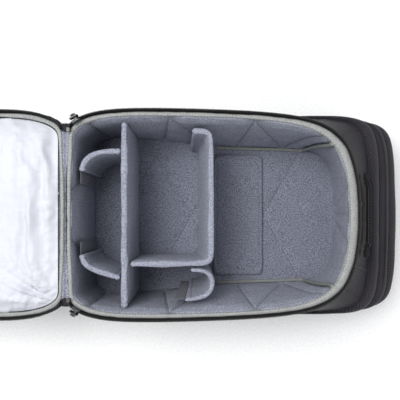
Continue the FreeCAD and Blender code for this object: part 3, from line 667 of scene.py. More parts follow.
# %% The three rolls and the mesh band
rolls = {
    "rib_front": [(0.109, 0.194, 0.0), (0.1088, 0.1985, 0.003), (0.1135, 0.2, 0.005), (0.121, 0.1975, 0.0047),
                  (0.1295, 0.192, 0.0028), (0.132, 0.1835, 0.0006), (0.1235, 0.179, -0.003)],
    "rib_middle": [(0.0848, 0.214, 0.0), (0.085, 0.2195, 0.003), (0.091, 0.2215, 0.005), (0.099, 0.22, 0.005),
                   (0.1066, 0.2135, 0.0035), (0.109, 0.203, 0.0008), (0.1015, 0.194, -0.003)],
    "rib_rear": [(0.042, 0.2335, 0.0005), (0.0425, 0.2385, 0.0035), (0.056, 0.2408, 0.0055),
                 (0.071, 0.2408, 0.0055), (0.085, 0.2355, 0.0042), (0.0905, 0.2235, 0.001),
                 (0.0825, 0.2135, -0.003)],
}
for seed, (node, keys) in enumerate(rolls.items(), 11):
    soft_band("padded_" + node, roll_levels(keys), seed, nylon, node)
mesh_keys = [(BASE.z, 0.2335, -0.002), (0.02, 0.236, 0.0005), (0.03, 0.2372, 0.0015), (0.04, 0.236, 0.001),
             (0.0425, 0.2335, 0.0)]
soft_band("mesh_band", roll_levels(mesh_keys), 14, mesh_cloth, "rear_band")
print("three rolls and the mesh band")

# %% [markdown]
# ## The front wall above the rolls
#
# This stretch has no foam of its own at the top end, where it slopes between the rim and the first roll. The
# cloth there hangs in soft upright folds and sinks between its two seams. The folds are a random height that
# only depends on the way round, strongest half way up and only where the wall slopes. At the hinge the lid's
# weight pulls the top of the end wall outwards, most in the middle.

# %% The front wall


def bowed(P):
    """Moved towards the hinge by 2.6 mm times a flat bell over the width and the height above the rolls."""
    share = np.exp(-((P[..., 1] / 0.08) ** 4)) * np.clip((-0.2 - P[..., 0]) / 0.03, 0, 1)
    pulled = P.copy()
    pulled[..., 0] -= 0.0026 * share * np.clip((P[..., 2] - 0.11) / 0.07, 0, 1)
    return pulled


FRONT_ROWS = 40
TOPSTITCH_ROW = 35
wall_steps = np.linspace(0, 1, FRONT_ROWS)
front = bowed(loft(closed_band([FRONT_FOOT.mix(RIM, t) for t in wall_steps]), ROUND))
N_front = normals_of(front, around=True, across=True)
sloping = np.clip((front[:, :FRONT_ROWS, 0] - 0.03) / 0.09, 0, 1)
belly = np.sin(np.pi * wall_steps) ** 0.8
FOLD_SPREAD = 1.13
round_way = np.linspace(0, FOLD_SPREAD, len(ROUND))
folds = wander(round_way[:, None], 21, 0.045, 0.009)[:, None]
sag = -0.0045 * belly * sloping + 0.0026 * folds * belly * sloping
sag = sag + 0.0005 * wander(front[:, :FRONT_ROWS], 22, 0.12, 0.03) - 0.0006 * belly * (1 - sloping)
front[:, :FRONT_ROWS] += N_front[:, :FRONT_ROWS] * sag[..., None]
front_wall = grid_piece("front_wall", front, nylon, around=True, across=True)
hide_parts("front_shell")
topstitch = stitch_line("front_wall_topstitch", front[:, TOPSTITCH_ROW], N_front[:, TOPSTITCH_ROW], thread_pale,
                        pitch=0.0046)
print("front wall from", round(Z_FOOT, 3), "to", round(Z_WALL, 3), "m up")

# %% [markdown]
# ## Piping, and tubes in general
#
# Piping is a cord wrapped in tape and caught in a seam. It is a tube: a small circle carried along a path. At
# each point the circle lies across the path, between the cloth's normal and the sideways direction, so the
# tube never twists. The same function makes cords, bound seams and the handle.

# %% Tubes


def tube_points(path, normals, radius, sides=10, closed=False):
    """Point (i, k) is path i plus the circle of angle k between the normal and the side direction."""
    way = np.roll(path, -1, 0) - np.roll(path, 1, 0) if closed else np.gradient(path, axis=0)
    way = unit(way)
    up = unit(normals - way * np.einsum("ij,ij->i", normals, way)[:, None])
    side = np.cross(way, up)
    turn = np.linspace(0, 2 * np.pi, sides, endpoint=False)
    radius = np.broadcast_to(radius, len(path))[:, None, None]
    ring = np.cos(turn)[None, :, None] * up[:, None] + np.sin(turn)[None, :, None] * side[:, None]
    return path[:, None] + ring * radius


def tube(name, path, normals, radius, material, body="case", sides=10, closed=False):
    """The tube's points as a piece in its slot."""
    P = tube_points(path, normals, radius, sides, closed)
    piece = grid_piece(name, P, material, body, around=closed, across=True)
    return piece


def up_normals(path):
    """Straight up at every point of a path."""
    return np.tile((0.0, 0.0, 1.0), (len(path), 1))


# %% The cords between the rolls
for name, cord_level, radius in (
    ("rib_cord_front", side_level(0.1268, 0.1812).inset(0.0002), 0.0013),
    ("rib_cord_middle", side_level(0.1058, 0.2105).inset(-0.0026), 0.0012),
):
    tube(name, cord_level.points(ROUND), up_normals(ROUND), radius, nylon, closed=True, sides=8)
print("two cords between the rolls")

# %% [markdown]
# ## The quilted walls of the main compartment
#
# Each wall is 9 to 13 mm of foam between two cloths, sewn through along V shapes. Four walls meet in the
# corners. A wall is a loft from the floor's pattern to the rim's, but its two ends slide along both curves on
# their own, because the corner seams lean. The quilting is a height over distance: between the seams foam
# pushes the cloth up by one minus a wide bell curve, and at a seam a narrow bell curve presses it down.

# %% Quilting


def distance_to_lines(where, lines):
    """The distance from 2-D points to the nearest of the segments, by projecting onto each and clamping."""
    nearest = np.full(where.shape[:-1], 9.0)
    for start, end in lines:
        start, way = np.array(start), np.array(end) - np.array(start)
        t = np.clip((where - start) @ way / (way @ way), 0, 1)
        nearest = np.minimum(nearest, np.linalg.norm(where - start - t[..., None] * way, axis=-1))
    return nearest


def quilted(seam, edge, puff, press):
    """puff * (1 - wide bell) - press * narrow bell of the distance to a seam, with the edges as seams too."""
    both = np.minimum(seam, edge)
    return puff * (1 - np.exp(-((both / 0.011) ** 2))) - press * np.exp(-((seam / 0.0022) ** 2))


def on_cloth(where, P, N, path):
    """Points and normals of a surface at 2-D places, from the four nearest grid points by inverse distance."""
    gap = np.linalg.norm(path[:, None] - where.reshape(1, -1, 2), axis=-1)
    near = np.argpartition(gap, 4, axis=1)[:, :4]
    weight = 1 / (np.take_along_axis(gap, near, axis=1) + 1e-5)
    weight = (weight / weight.sum(axis=1, keepdims=True))[..., None]
    return (P.reshape(-1, 3)[near] * weight).sum(axis=1), unit((N.reshape(-1, 3)[near] * weight).sum(axis=1))


def sewn_lines(name, where, P, N, lines, material):
    """A stitched line along each segment, lying on the surface."""
    for k, (start, end) in enumerate(lines):
        steps = np.linspace(0, 1, 60)[:, None]
        path = np.array(start) + steps * (np.array(end) - np.array(start))
        points, normals = on_cloth(where, P, N, path)
        line = stitch_line(f"{name}_{k}", points, normals, material, pitch=0.0055, length=0.0033)


# %% A padded wall
HEAD = RIM.inset(0.0023)
WALL_ROWS = 80
ROLL_OUT = 0.016


def wall_points(u, v):
    """Share v of the way from the floor's outline to the rim's; the last 16 mm roll outwards to the binding."""
    v = np.asarray(v)[..., None]
    straight = INNER_FLOOR.points(u) * (1 - v) + INNER_RIM.points(u) * v
    rolled_out = np.clip((straight[..., 2:] - Z_WALL + ROLL_OUT) / ROLL_OUT, 0, 1) ** 1.5
    return straight + (BINDING_EDGE.points(u) - INNER_RIM.points(u)) * rolled_out


def quilted_wall(name, node, floor_u, rim_u, axis, lines, seed, columns=230, thread=thread_dark):
    """Column i runs from the floor at floor_u[i] to the rim at rim_u[i], straight up the padded face."""
    v = np.linspace(1, 0, WALL_ROWS)
    u_floor = INNER_FLOOR.even(columns, *floor_u)
    u_rim = INNER_RIM.even(columns, *rim_u)
    u = u_floor[:, None] * (1 - v) + u_rim[:, None] * v
    face = wall_points(u, v)
    back = np.stack([MAIN_FLOOR.at(Z_FLOOR).points(u_floor), HEAD.points(u_rim)], axis=1)
    P = bowed(np.concatenate([back, face], axis=1))
    N = normals_of(P, across=True)[:, 2:]
    where = P[:, 2:][..., [axis, 2]]
    seam = distance_to_lines(where, lines)
    along = np.linalg.norm(P[:, 2:] - P[:1, 2:], axis=-1)
    edge = np.minimum(along, np.linalg.norm(P[:, 2:] - P[-1:, 2:], axis=-1)) + 0.001
    edge = np.minimum(edge, face[..., 2] - Z_FLOOR + 0.002)
    lift = quilted(seam, edge, 0.0022, 0.0016) - 0.0014 + 0.0004 * wander(face, seed, 0.09, 0.02)
    lift = lift - 0.003 * np.exp(-((edge / 0.004) ** 2)) * (face[..., 2] > Z_FLOOR + 0.012)
    P[:, 2:] += N * lift[..., None]
    P[:, -1, 2] = np.maximum(P[:, -1, 2], Z_FLOOR - 0.001)
    piece = grid_piece(name, P, slate_lightened, across=True)
    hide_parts(node)
    sewn_lines(name + "_stitches", where, P[:, 2:], N, lines, thread)


def vees(first, period, wide, count, along):
    """V shapes from the rim to the floor, each apex a period further on."""
    made = []
    for k in range(count):
        apex = first + along * period * k
        made += [((apex, Z_WALL - 0.002), (apex - wide[0], Z_FLOOR + 0.004)),
                 ((apex, Z_WALL - 0.002), (apex + wide[1], Z_FLOOR + 0.004))]
    return made


# %% The four walls
floor_low = INNER_FLOOR.where(0, -0.214)
floor_high = INNER_FLOOR.where(0, 0.099)
rim_low = INNER_RIM.where(0, -0.218)
rim_high = INNER_RIM.where(0, 0.111)
side_lines = vees(0.007, 0.117, (0.015, 0.055), 2, -1) + vees(0.1, 0.1, (0.03, 0.0), 1, 1)[:1]
end_lines = [((side * 0.042, Z_WALL - 0.002), (side * 0.012, Z_FLOOR + 0.004)) for side in (1, -1, 0)]
hinge_lines = [((side * 0.03, Z_WALL - 0.002), (side * 0.085, Z_FLOOR + 0.004)) for side in (1, -1)]
quilted_wall("quilted_wall_left", "wall_pad_left", (floor_low, floor_high), (rim_low, rim_high), 0,
             side_lines, 31)
quilted_wall("quilted_wall_right", "wall_pad_right", (1 - floor_high, 1 - floor_low),
             (1 - rim_high, 1 - rim_low), 0, side_lines, 32)
quilted_wall("quilted_wall_top_end", "wall_pad_top_end", (floor_high, 1 - floor_high),
             (rim_high, 1 - rim_high), 1, end_lines, 33, columns=190, thread=thread_grey)
quilted_wall("quilted_wall_bottom_end", "wall_pad_bottom_end", (-floor_low, floor_low), (-rim_low, rim_low), 1,
             hinge_lines, 34, columns=180)
print("four quilted walls")

# %% [markdown]
# ## The quilted floor
#
# The floor pad is quilted in diamonds: two sets of parallel seams that cross in the middle. It is worked out
# as rings that shrink from the outline to the centre, so its edge follows the pattern exactly, and the last
# ring is closed by a fan.

# %% The floor


def shrunk(level, share):
    """The outline drawn in towards the middle of its length, to this share of its size."""
    middle = (level.low + level.high) / 2
    return level.changed(low=middle + (level.low - middle) * share, high=middle + (level.high - middle) * share,
                         half=level.half * share)


def disc_levels(level, count, smallest=0.02):
    """Rings of one outline from its full size down to a small share."""
    return [shrunk(level, share) for share in np.linspace(1, smallest, count)]


EDGE_UP = [MAIN_FLOOR.inset(0.002), MAIN_FLOOR.at(Z_BOARD + 0.003), MAIN_FLOOR.at(Z_FLOOR - 0.0015)]
bottom = disc_levels(MAIN_FLOOR.inset(0.004), 4)[::-1]
top = disc_levels(MAIN_FLOOR.inset(0.001).at(Z_FLOOR), 96)
P = loft(bottom + EDGE_UP + top, ROUND)
top_from = len(bottom) + len(EDGE_UP)
FLOOR_CROSSINGS = (0.0376, -0.0794, -0.1964)
FLOOR_REACH = 0.101
FLOOR_RISE = 1.785
FLOOR_RUN = FLOOR_REACH / FLOOR_RISE
floor_lines = [((crossing - side * FLOOR_RUN, -FLOOR_REACH), (crossing + side * FLOOR_RUN, FLOOR_REACH))
               for crossing in FLOOR_CROSSINGS for side in (1, -1)]
where = P[:, top_from:, :2]
seam = distance_to_lines(where, floor_lines)
P[:, top_from:, 2] += quilted(seam, np.full_like(seam, 0.05), 0.0016, 0.0014) - 0.0014
P[:, top_from:, 2] += 0.0003 * wander(where, 35, 0.1, 0.02)
floor = grid_piece("quilted_floor", P, slate, around=True, flat_uv=True)
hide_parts("floor_pad")
face = P[:, top_from:]
sewn_lines("floor_stitches", where, face, np.broadcast_to((0.0, 0.0, 1.0), face.shape), floor_lines, thread_grey)
print("floor with", len(floor_lines), "seams")

# %% [markdown]
# ## Rim binding and bound seams
#
# A strip of mottled tape is folded over the raw edge where the padded walls end. Its section is half a
# flattened circle from the outer edge to the inner one, carried round the rim. The bound seams along the
# floor and up the two far corners are the same tape round a cord, in a darker copy that is painted shade for
# their place deep in the case.

# %% The bindings


def crowned(outer, inner, z, rise, count=16, flat=0.6):
    """The level slides from the outer edge to the inner one by (1 - cos) / 2 while its height follows a sine."""
    turn = np.linspace(0, np.pi, count)
    return [outer.mix(inner, (1 - np.cos(a)) / 2).at(z + rise * np.sin(a) ** flat) for a in turn]


def binding(levels, seed):
    """The folded tape's points and normals, with the slight unevenness of a sewn edge along the normals."""
    P = bowed(loft(levels, RIM.even(1100, closed=True)))
    N = normals_of(P, around=True, across=True)
    lift = 0.00028 * wander(P, seed, 0.06, 0.012) + 0.00006 * wander(P, seed + 1, 0.006, 0.003)
    P[:, 1:-1] += N[:, 1:-1] * lift[:, 1:-1, None]
    return P, N


# %% The rim's binding
TAPE_FOOT = Z_WALL - 0.0005
TAPE_RISE = Z_RIM - Z_WALL + 0.0005
TAPE_ROWS = {"stitches": 4, "inner_stitches": 12}
TAPE_STITCH = {"pitch": 0.0042, "length": 0.0022, "radius": 0.00036}
BINDING_OUT = RIM.inset(0.0048, 0.0015)
BINDING_OUT = BINDING_OUT.changed(high=RIM.high - 0.0012, half=BINDING_OUT.half + 0.0013)
P, N = binding(crowned(BINDING_OUT, BINDING_EDGE, TAPE_FOOT, TAPE_RISE), 41)
rim_tape = grid_piece("rim_bound_edge", P, stone, around=True, across=True)
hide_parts("rim_binding")
for label, row in TAPE_ROWS.items():
    line = stitch_line("rim_binding_" + label, P[:, row], N[:, row], thread_dark, **TAPE_STITCH)
print("rim binding", round(TAPE_RISE * 1000, 1), "mm high")

# %% The bound seams
PIPE = 0.0027
along_floor = INNER_FLOOR.inset(0.0022).at(Z_FLOOR + 0.0022)
floor_run = along_floor.points(along_floor.even(200, along_floor.where(0, -0.04), along_floor.where(0, 0.088)))
v = np.linspace(0.0, 0.997, 90) ** 1.15
climb = wall_points(floor_high * (1 - v) + rim_high * v, v) - (0.0009, 0.0009, -0.0018)
run = respaced(np.concatenate([floor_run, climb]), 260)
SOFTEN = 12  # points to either side that a bell curve averages, which rounds the bend at the floor
bend = np.exp(-0.5 * (np.arange(-SOFTEN, SOFTEN + 1) / 5) ** 2)
padded = np.pad(run, ((SOFTEN, SOFTEN), (0, 0)), mode="reflect", reflect_type="odd")
run = np.column_stack([np.convolve(padded[:, k], bend / bend.sum(), mode="valid") for k in range(3)])
for side, name in ((1, "left"), (-1, "right")):
    steep = np.clip((run[:, 2:] - Z_FLOOR) / 0.03, 0, 1)
    normals = np.array((0, 0, 1.0)) * (1 - steep) + np.array((-0.7, -0.7 * side, 0.1)) * steep
    # The seams take the darker copy of the binding tape, painted shade for their place deep in the case.
    seam = tube(f"bound_seam_{name}", run * (1, side, 1), normals, PIPE, stone_shaded, sides=12)
    if side == 1:
        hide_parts("floor_piping")
print("bound seams,", round(float(travelled(run)[-1]), 3), "m each")

# %% [markdown]
# ## Zips
#
# Half a zip is a woven tape and a nylon coil on its edge. The coil really is one long monofilament wound
# round the tape, so it is a tube on a helix, with one turn about every one and a half millimetres. Seven
# points a turn and a square section are enough at this size. The tape is an L in section: it stands at the
# rim and its foot runs under the binding.

# %% A coil, and the lid's own places


def zip_ends(level):
    """The open zip stops short of the hinge, at the same place on both sides."""
    start = level.where(1, 0.117, 0.0, 0.25)
    return start, 1 - start


def coil_points(level, start, end, pitch, wide, tall, per_turn=7):
    """The line at angle phi is the outline plus wide * cos(phi) outwards and tall * sin(phi) upwards."""
    rough = level.points(np.linspace(start, end, 2000))
    turns = int(np.linalg.norm(np.diff(rough, axis=0), axis=1).sum() / pitch)
    u = level.even(turns * per_turn, start, end)
    way = unit(np.gradient(level.points(u), axis=0))
    out = np.column_stack([-way[:, 1], way[:, 0], np.zeros(len(way))])
    turn = 2 * np.pi * np.arange(len(u))[:, None] / per_turn
    around = out * np.cos(turn) * wide + np.array((0, 0, 1.0)) * np.sin(turn) * tall
    return level.points(u) + around, unit(around)


def coil(level, start, end, pitch=0.0016, wide=0.00115, tall=0.00105, wire=0.00042):
    """The helix as a wire with a square section."""
    path, normals = coil_points(level, start, end, pitch, wide, tall)
    return tube_points(path, normals, wire, sides=4)


def flipped(P):
    """A case piece mirrored in the middle of the zip, which is its twin on the closed lid."""
    return P * (1, 1, -1) + (0, 0, 2 * Z_HINGE)


def opened(P):
    """A point of the closed lid turned about the hinge line by the lid's angle, backwards."""
    x, z = P[..., 0] - X_HINGE, P[..., 2] - Z_HINGE
    turned = np.stack([x * np.cos(LID_OPEN) - z * np.sin(LID_OPEN), P[..., 1],
                       x * np.sin(LID_OPEN) + z * np.cos(LID_OPEN)], axis=-1)
    return turned + (X_HINGE, 0, Z_HINGE)


# %% The rim's zip and the lid's
tape_section = [
    (0.0062, Z_WALL + 0.0004), (0.0009, Z_WALL + 0.0003), (0.0006, Z_WALL + 0.003), (0.0006, Z_COIL + 0.0006),
    (0.0016, Z_COIL + 0.0006), (0.0017, Z_WALL + 0.0028), (0.0024, Z_WALL + 0.0018), (0.0062, Z_WALL + 0.0014),
]
u = RIM.even(900, *zip_ends(RIM))
tape = np.stack([RIM.inset(by).at(z).points(u) for by, z in tape_section], axis=1)
coils = coil(RIM.inset(0.0011).at(Z_COIL + 0.0012), *zip_ends(RIM))
for body, put, prefix in (("case", lambda P: P, ""), ("lid", lambda P: opened(flipped(P)), "lid_")):
    band = grid_piece(prefix + "zip_woven_tape", put(tape), tape_black, body, across=True)
    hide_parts(prefix + "zip_tape")
    winding = grid_piece(prefix + "zip_winding", put(coils), coil_plastic, body, across=True)
    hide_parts(prefix + "zip_coil")

# %% The rear zip
rear_line = side_level(0.106, 0.1962, 0.1428)
rear_section = [rear_line.at(z).inset(by)
                for z, by in ((0.1022, 0.0022), (0.1022, 0.0012), (0.1098, 0.0012), (0.1098, 0.0022))]
rear_tape = grid_piece("rear_zip_woven_tape", loft(rear_section, ROUND), tape_black, around=True, across=True)
rear_helix = coil(rear_line.inset(0.0004), 0.0, 1.0, pitch=0.0017, wide=0.0012, tall=0.0018, wire=0.0005)
rear_coil = grid_piece("rear_zip_winding", rear_helix, coil_plastic, across=True)
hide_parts("rear_zip_coil")
print("three zips,", len(rear_coil.data.polygons), "faces in the rear one")

# %% [markdown]
# ## The fabric hinge
#
# A strip of lining fabric joins the lid to the end wall, and a gathered black tab closes each end of it. They
# run from the case at one edge to the lid at the other. Open, the strip lies nearly flat from one binding to
# the other, with a narrow dip in its middle where it has folded before.

# %% Hinge cloth
CASE_SIDE, LID_SIDE = -0.2437, -0.2537


def hinge_cloth(name, y0, y1, material, sag, thick, seed, rows=120):
    """A straight line from the case's side to the lid's, lowered by the sag times a sine to the power 6."""
    across = np.linspace(0, 1, 22)
    y = np.linspace(y0, y1, rows)[:, None]
    x = CASE_SIDE + across * (LID_SIDE - CASE_SIDE)
    z = Z_WALL + 0.0007 - sag * np.sin(np.pi * across) ** 6 + 0.0008 * across
    top = np.stack(np.broadcast_arrays(x, y, z), axis=-1).copy()
    top[..., 2] += 0.0004 * wander(top[..., :2], seed, 0.03, 0.005) * np.sin(np.pi * across)
    P = np.concatenate([top, (top - (0, 0, thick))[:, ::-1]], axis=1)
    piece = grid_piece(name, P, material, body=None, across=True)
    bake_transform(piece)
    return piece


# %% Hinge strip and tabs
strip_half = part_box("hinge_strip")[1].y
hinge_strip = hinge_cloth("hinge_fabric", -strip_half - 0.004, strip_half + 0.004, slate_lightened,
                          0.002, 0.0006, 51)
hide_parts("hinge_strip")
left_tab = hinge_cloth("hinge_tab_left", 0.1125, 0.1235, nylon, -0.0012, 0.0012, 52, rows=16)
hinge_cloth("hinge_tab_right", -0.1235, -0.1125, nylon, -0.0012, 0.0012, 53, rows=16)
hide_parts("hinge_end_tabs")
print("hinge strip", round(2 * strip_half + 0.008, 3), "m long")

# %% [markdown]
# ## The lid
#
# The lid is the case's rim again, upside down: binding, zip and a low padded wall, then a foam panel under
# ballistic nylon. It is worked out closed, where its shape is the rim's, and turned open about the hinge at
# the end, so the two halves of the zip meet exactly when it closes.

# %% The lid's binding
P, N = binding(crowned(RIM.inset(0.0036, 0.0015), BINDING_EDGE, TAPE_FOOT, TAPE_RISE), 61)
lid_edge = grid_piece("lid_bound_edge", opened(flipped(P)), stone, "lid", around=True, across=True)
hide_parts("lid_binding")
for label, row in TAPE_ROWS.items():
    path = opened(flipped(P[:, row]))
    normals = opened(flipped(P[:, row] + N[:, row])) - path
    line = stitch_line("lid_binding_" + label, path, normals, thread_dark, "lid", **TAPE_STITCH)
print("lid binding", round(float(np.degrees(LID_OPEN))), "degrees round the hinge from shut")

# %% The lid's padded wall
LID_EDGE = LID_FOOT + 0.016
side_face = [RIM.at(LID_FOOT).mix(RIM.at(LID_EDGE).inset(0.005), t).inset(-0.0026 * np.sin(np.pi * t))
             for t in np.linspace(0, 1, 20)]
P = sewn_cloth(loft(closed_band(side_face), ROUND), 62)
lid_wall = grid_piece("lid_wall", opened(P), nylon, "lid", around=True, across=True)
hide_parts("lid_side_band")

# %% The lid's outer panel
# A ring that has a share of the outline's size is raised by (1 - share to the 7th power) to the power 0.75.
DOME_RINGS = 70
DOME_RISE = 0.0088
under = disc_levels(RIM.inset(0.0075).at(LID_EDGE - 0.004), 5)[::-1]
dome = [shrunk(RIM.inset(0.005), share).at(LID_EDGE + DOME_RISE * (1 - share**7) ** 0.75)
        for share in np.linspace(1, 0.02, DOME_RINGS)]
P = loft(under + dome, ROUND)
from_edge = 1 - np.exp(-np.linspace(0, 14, DOME_RINGS))
P[:, len(under):, 2] += 0.0007 * wander(P[:, len(under):], 63, 0.2, 0.05) * from_edge
lid_panel = grid_piece("lid_panel", opened(P), nylon, "lid", around=True, flat_uv=True)
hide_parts("lid_top_panel", "lid_foam")
path = opened(RIM.inset(0.0046).at(LID_EDGE).points(ROUND))
lid_cord = tube("lid_edge_cord", path, up_normals(path), 0.0017, webbing, "lid", closed=True)
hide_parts("lid_edge_piping")
print("lid shell, from", round(float(opened(P)[..., 2].min()), 3))

# %% [markdown]
# ## The lid's gathered lining
#
# A slippery silver cloth, cut larger than the lid, is sewn in round its edge, so it always lies in folds.
# That is the one thing here that is easier to simulate than to draw: a square grid is fitted to the outline,
# held along its edge, grown a few percent and let fall on a bed as high as the foam.
# The grid's rings are squares near the middle and the outline itself at the edge. Long folds are cut in from
# the start beside the hinge, and a fan of folds at one corner, where the cloth is drawn together, is laid
# over the fallen cloth.

# %% The lining's cut
LINING_FACE = LID_EDGE - 0.0075
LINING_EASE = 0.05
LINING_PUFF = 0.0155
GRID = 100
BORDER = LINING_FACE - LID_FOOT + 0.0004


def lining_cut():
    """A point at ring r and angle a of a square grid goes to r times the outline's point at the same angle."""
    line = np.linspace(-1, 1, GRID)
    a, b = np.meshgrid(line, line, indexing="ij")
    r = np.maximum(np.abs(a), np.abs(b))
    edge = BINDING_EDGE.inset(-0.001)
    middle = np.array(((edge.low + edge.high) / 2, 0.0))
    table = np.linspace(0, 1, 4001)
    outline = edge.points(table)[:, :2] - middle
    aspect = (edge.high - edge.low) / 2 / edge.half
    seen = np.unwrap(np.arctan2(outline[:, 1] * aspect, -outline[:, 0]))
    turn = np.mod(np.arctan2(b, -a), 2 * np.pi)
    place = edge.points(np.interp(turn, seen, table))[..., :2] - middle
    flat = middle + place * r[..., None]
    return np.concatenate([flat, np.zeros((GRID, GRID, 1))], axis=-1), r


def grid_faces():
    """The four corners of every square of the grid."""
    i, j = np.meshgrid(np.arange(GRID - 1), np.arange(GRID - 1), indexing="ij")
    first = i * GRID + j
    return np.stack([first, first + GRID, first + GRID + 1, first + 1], axis=-1).reshape(-1, 4)


def bed_height(flat, r):
    """A cushion 15.5 mm high, a little uneven, that falls to nothing over the outer fifth, on a flat base."""
    rise = 1 - np.clip((r - 0.79) / 0.21, 0, 1) ** 1.3
    base = (BORDER - 0.004) * np.clip(8 * (1 - r), 0, 1) ** 0.3
    return base + LINING_PUFF * rise * (0.88 + 0.12 * wander(flat, 74, 0.22, 0.1))


# %% The lining before it falls
cut, ring_share = lining_cut()
hinge_side = np.clip((-0.185 - cut[..., 0]) / 0.05, 0, 1)
long_folds = wander(cut[..., :2] * (1, 0.22), 71, 0.03, 0.014) * hinge_side
soft_folds = wander(cut[..., :2], 75, 0.07, 0.03)
bed_z = bed_height(cut[..., :2], ring_share)
inner_z = bed_z + 0.0032 + (0.003 * long_folds + 0.0022 * soft_folds) * (1 - ring_share**8)
cut[..., 2] = np.where(ring_share > 0.999, BORDER, np.maximum(inner_z, BORDER * ring_share**6))
print("lining cut over", round(float(np.ptp(cut[..., 0])), 3), "x", round(float(np.ptp(cut[..., 1])), 3), "m")

# %% Let the lining fall


def trial_object(name, points, faces):
    """A plain mesh object that only serves the cloth step."""
    mesh = bpy.data.meshes.new(name)
    mesh.from_pydata(points.tolist(), [], faces.tolist())
    trial = bpy.data.objects.new(name, mesh)
    bpy.context.scene.collection.objects.link(trial)
    return trial


def settled(points, bed_points, faces, held, ease, frames=40):
    """Blender's cloth, grown by ease and held at some vertices, falls on a bed of the same grid."""
    trial = trial_object("lining_trial", points, faces)
    group = trial.vertex_groups.new(name="sewn")
    group.add(np.flatnonzero(held).tolist(), 1.0, "REPLACE")
    bed = trial_object("lining_bed", bed_points, faces)
    bed.modifiers.new("bed", "COLLISION")
    bed.collision.thickness_outer = 0.001
    cloth_step = trial.modifiers.new("lining", "CLOTH")
    thin_silk = {
        "vertex_group_mass": "sewn", "shrink_min": -ease, "quality": 7, "mass": 0.08, "tension_stiffness": 25,
        "compression_stiffness": 25, "shear_stiffness": 8, "bending_stiffness": 0.9, "air_damping": 2.5,
    }
    for key, value in thin_silk.items():
        setattr(cloth_step.settings, key, value)
    cloth_step.collision_settings.distance_min = 0.001
    cloth_step.point_cache.frame_end = frames
    for at in range(1, frames + 1):
        bpy.context.scene.frame_set(at)
    done = trial.evaluated_get(bpy.context.evaluated_depsgraph_get())
    found = np.zeros(len(points) * 3, dtype=np.float32)
    done.data.vertices.foreach_get("co", found)
    bpy.context.scene.frame_set(1)
    for thing in (trial, bed):
        data = thing.data
        bpy.data.objects.remove(thing)
        bpy.data.meshes.remove(data)
    return found.reshape(-1, 3).astype(float)


FURTHEST = 0.016
flat_points = cut.reshape(-1, 3)
bed_points = np.column_stack([flat_points[:, :2], bed_z.ravel()])
lying = settled(flat_points, bed_points, grid_faces(), ring_share.ravel() > 0.999, LINING_EASE)
moved = lying - flat_points
length = np.linalg.norm(moved, axis=1)
lying = flat_points + moved * np.minimum(1, FURTHEST / np.maximum(length, 1e-9))[:, None]
lying = lying.reshape(GRID, GRID, 3)
print("the lining moved up to", round(float(length.max()), 4), "m as it fell")

# %% Folds laid over it: some across the hinge's side, and a fan that spreads from one corner
free = 1 - np.clip((ring_share - 0.86) / 0.13, 0, 1) ** 2
near_hinge = np.clip((-0.165 - lying[..., 0]) / 0.05, 0, 1)
crosswise = wander(lying[..., :2] * (1, 0.12), 76, 0.03, 0.014)
corner_away = lying[..., :2] - (-0.234, -0.118)
fan = np.stack([0.13 * np.arctan2(corner_away[..., 1], corner_away[..., 0]),
                0.12 * np.linalg.norm(corner_away, axis=-1)], axis=-1)
near_corner = np.exp(-(np.linalg.norm(corner_away / (0.055, 0.095), axis=-1) ** 2))
fan_folds = wander(fan, 77, 0.05, 0.016)
lying[..., 2] += free * (0.0034 * crosswise * near_hinge + 0.0052 * fan_folds * near_corner)
LOWEST, HIGHEST = 0.0004, 0.029
lying[..., 2] = np.clip(lying[..., 2], LOWEST, HIGHEST)
print("lining", [round(float(end(lying[..., 2])), 4) for end in (np.min, np.max)], "m over the foam")

# %% The lining as a piece
closed_lining = np.stack([lying[..., 0], lying[..., 1], LINING_FACE - lying[..., 2]], axis=-1)
seam_path = opened(BINDING_EDGE.inset(0.0002).at(LID_FOOT - 0.0009).points(ROUND))
tube("lining_seam", seam_path, up_normals(seam_path), 0.0008, tape_black, "lid", closed=True, sides=8)
lining = grid_piece("gathered_lining", opened(closed_lining), silver, "lid", flat_uv=True)
thickness = lining.modifiers.new("cloth thickness", "SOLIDIFY")
thickness.thickness = 0.0005
thickness.offset = 0.0
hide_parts("lid_lining")
diagonals = closed_lining[1:, 1:] - closed_lining[:-1, :-1], closed_lining[:-1, 1:] - closed_lining[1:, :-1]
area = 0.5 * np.linalg.norm(np.cross(*diagonals), axis=-1).sum()
print("lining area", round(float(area), 4), "m2")

# %% [markdown]
# ## Dividers
#
# Each divider is a strip of foam in loop fabric, standing on edge and bent to shape. Two centre lines
# describe it, one at its foot and one at its top, each a clamped B-spline. The section is a tall rounded box:
# for each height the centre line is blended, and the faces lie half a thickness to either side. Foam is never
# flat, so the faces swell a little and sink again at the stitched edges.

# %% Even steps along a centre line


def evenly(poles, count, near_ends=(0.0, 0.0003, 0.0009, 0.0018, 0.003)):
    """Parameters at equal distances along the spline, with extra ones close to both ends for their rounding."""
    t = np.linspace(0, 1, 1500)
    line = clamped_spline(poles, t)
    gone = travelled(line)
    between = np.linspace(0.0042, gone[-1] - 0.0042, count)
    wanted = np.concatenate([near_ends, between, gone[-1] - np.array(near_ends)[::-1]])
    return np.interp(wanted, gone, t), wanted, gone[-1]


# %% Divider section
FACE_ROWS = 44
TOP_SEAM = 0.0065


def divider_section(height, half, corner=0.0036):
    """A loop of (side, height): up the left face, round over the top, down the right face, and the foot."""
    up = np.linspace(0.0018, height - corner, FACE_ROWS)
    turn = np.linspace(np.pi, 0, 11)[1:-1]
    top_side, top_up = np.cos(turn), height - corner + corner * np.sin(turn)
    side = np.concatenate([-np.ones(FACE_ROWS), top_side, np.ones(FACE_ROWS), [0.6, -0.6]])
    high = np.concatenate([up, top_up, up[::-1], [0.0, 0.0]])
    side = np.sign(side) * np.abs(side) ** 0.75
    return side * half, high


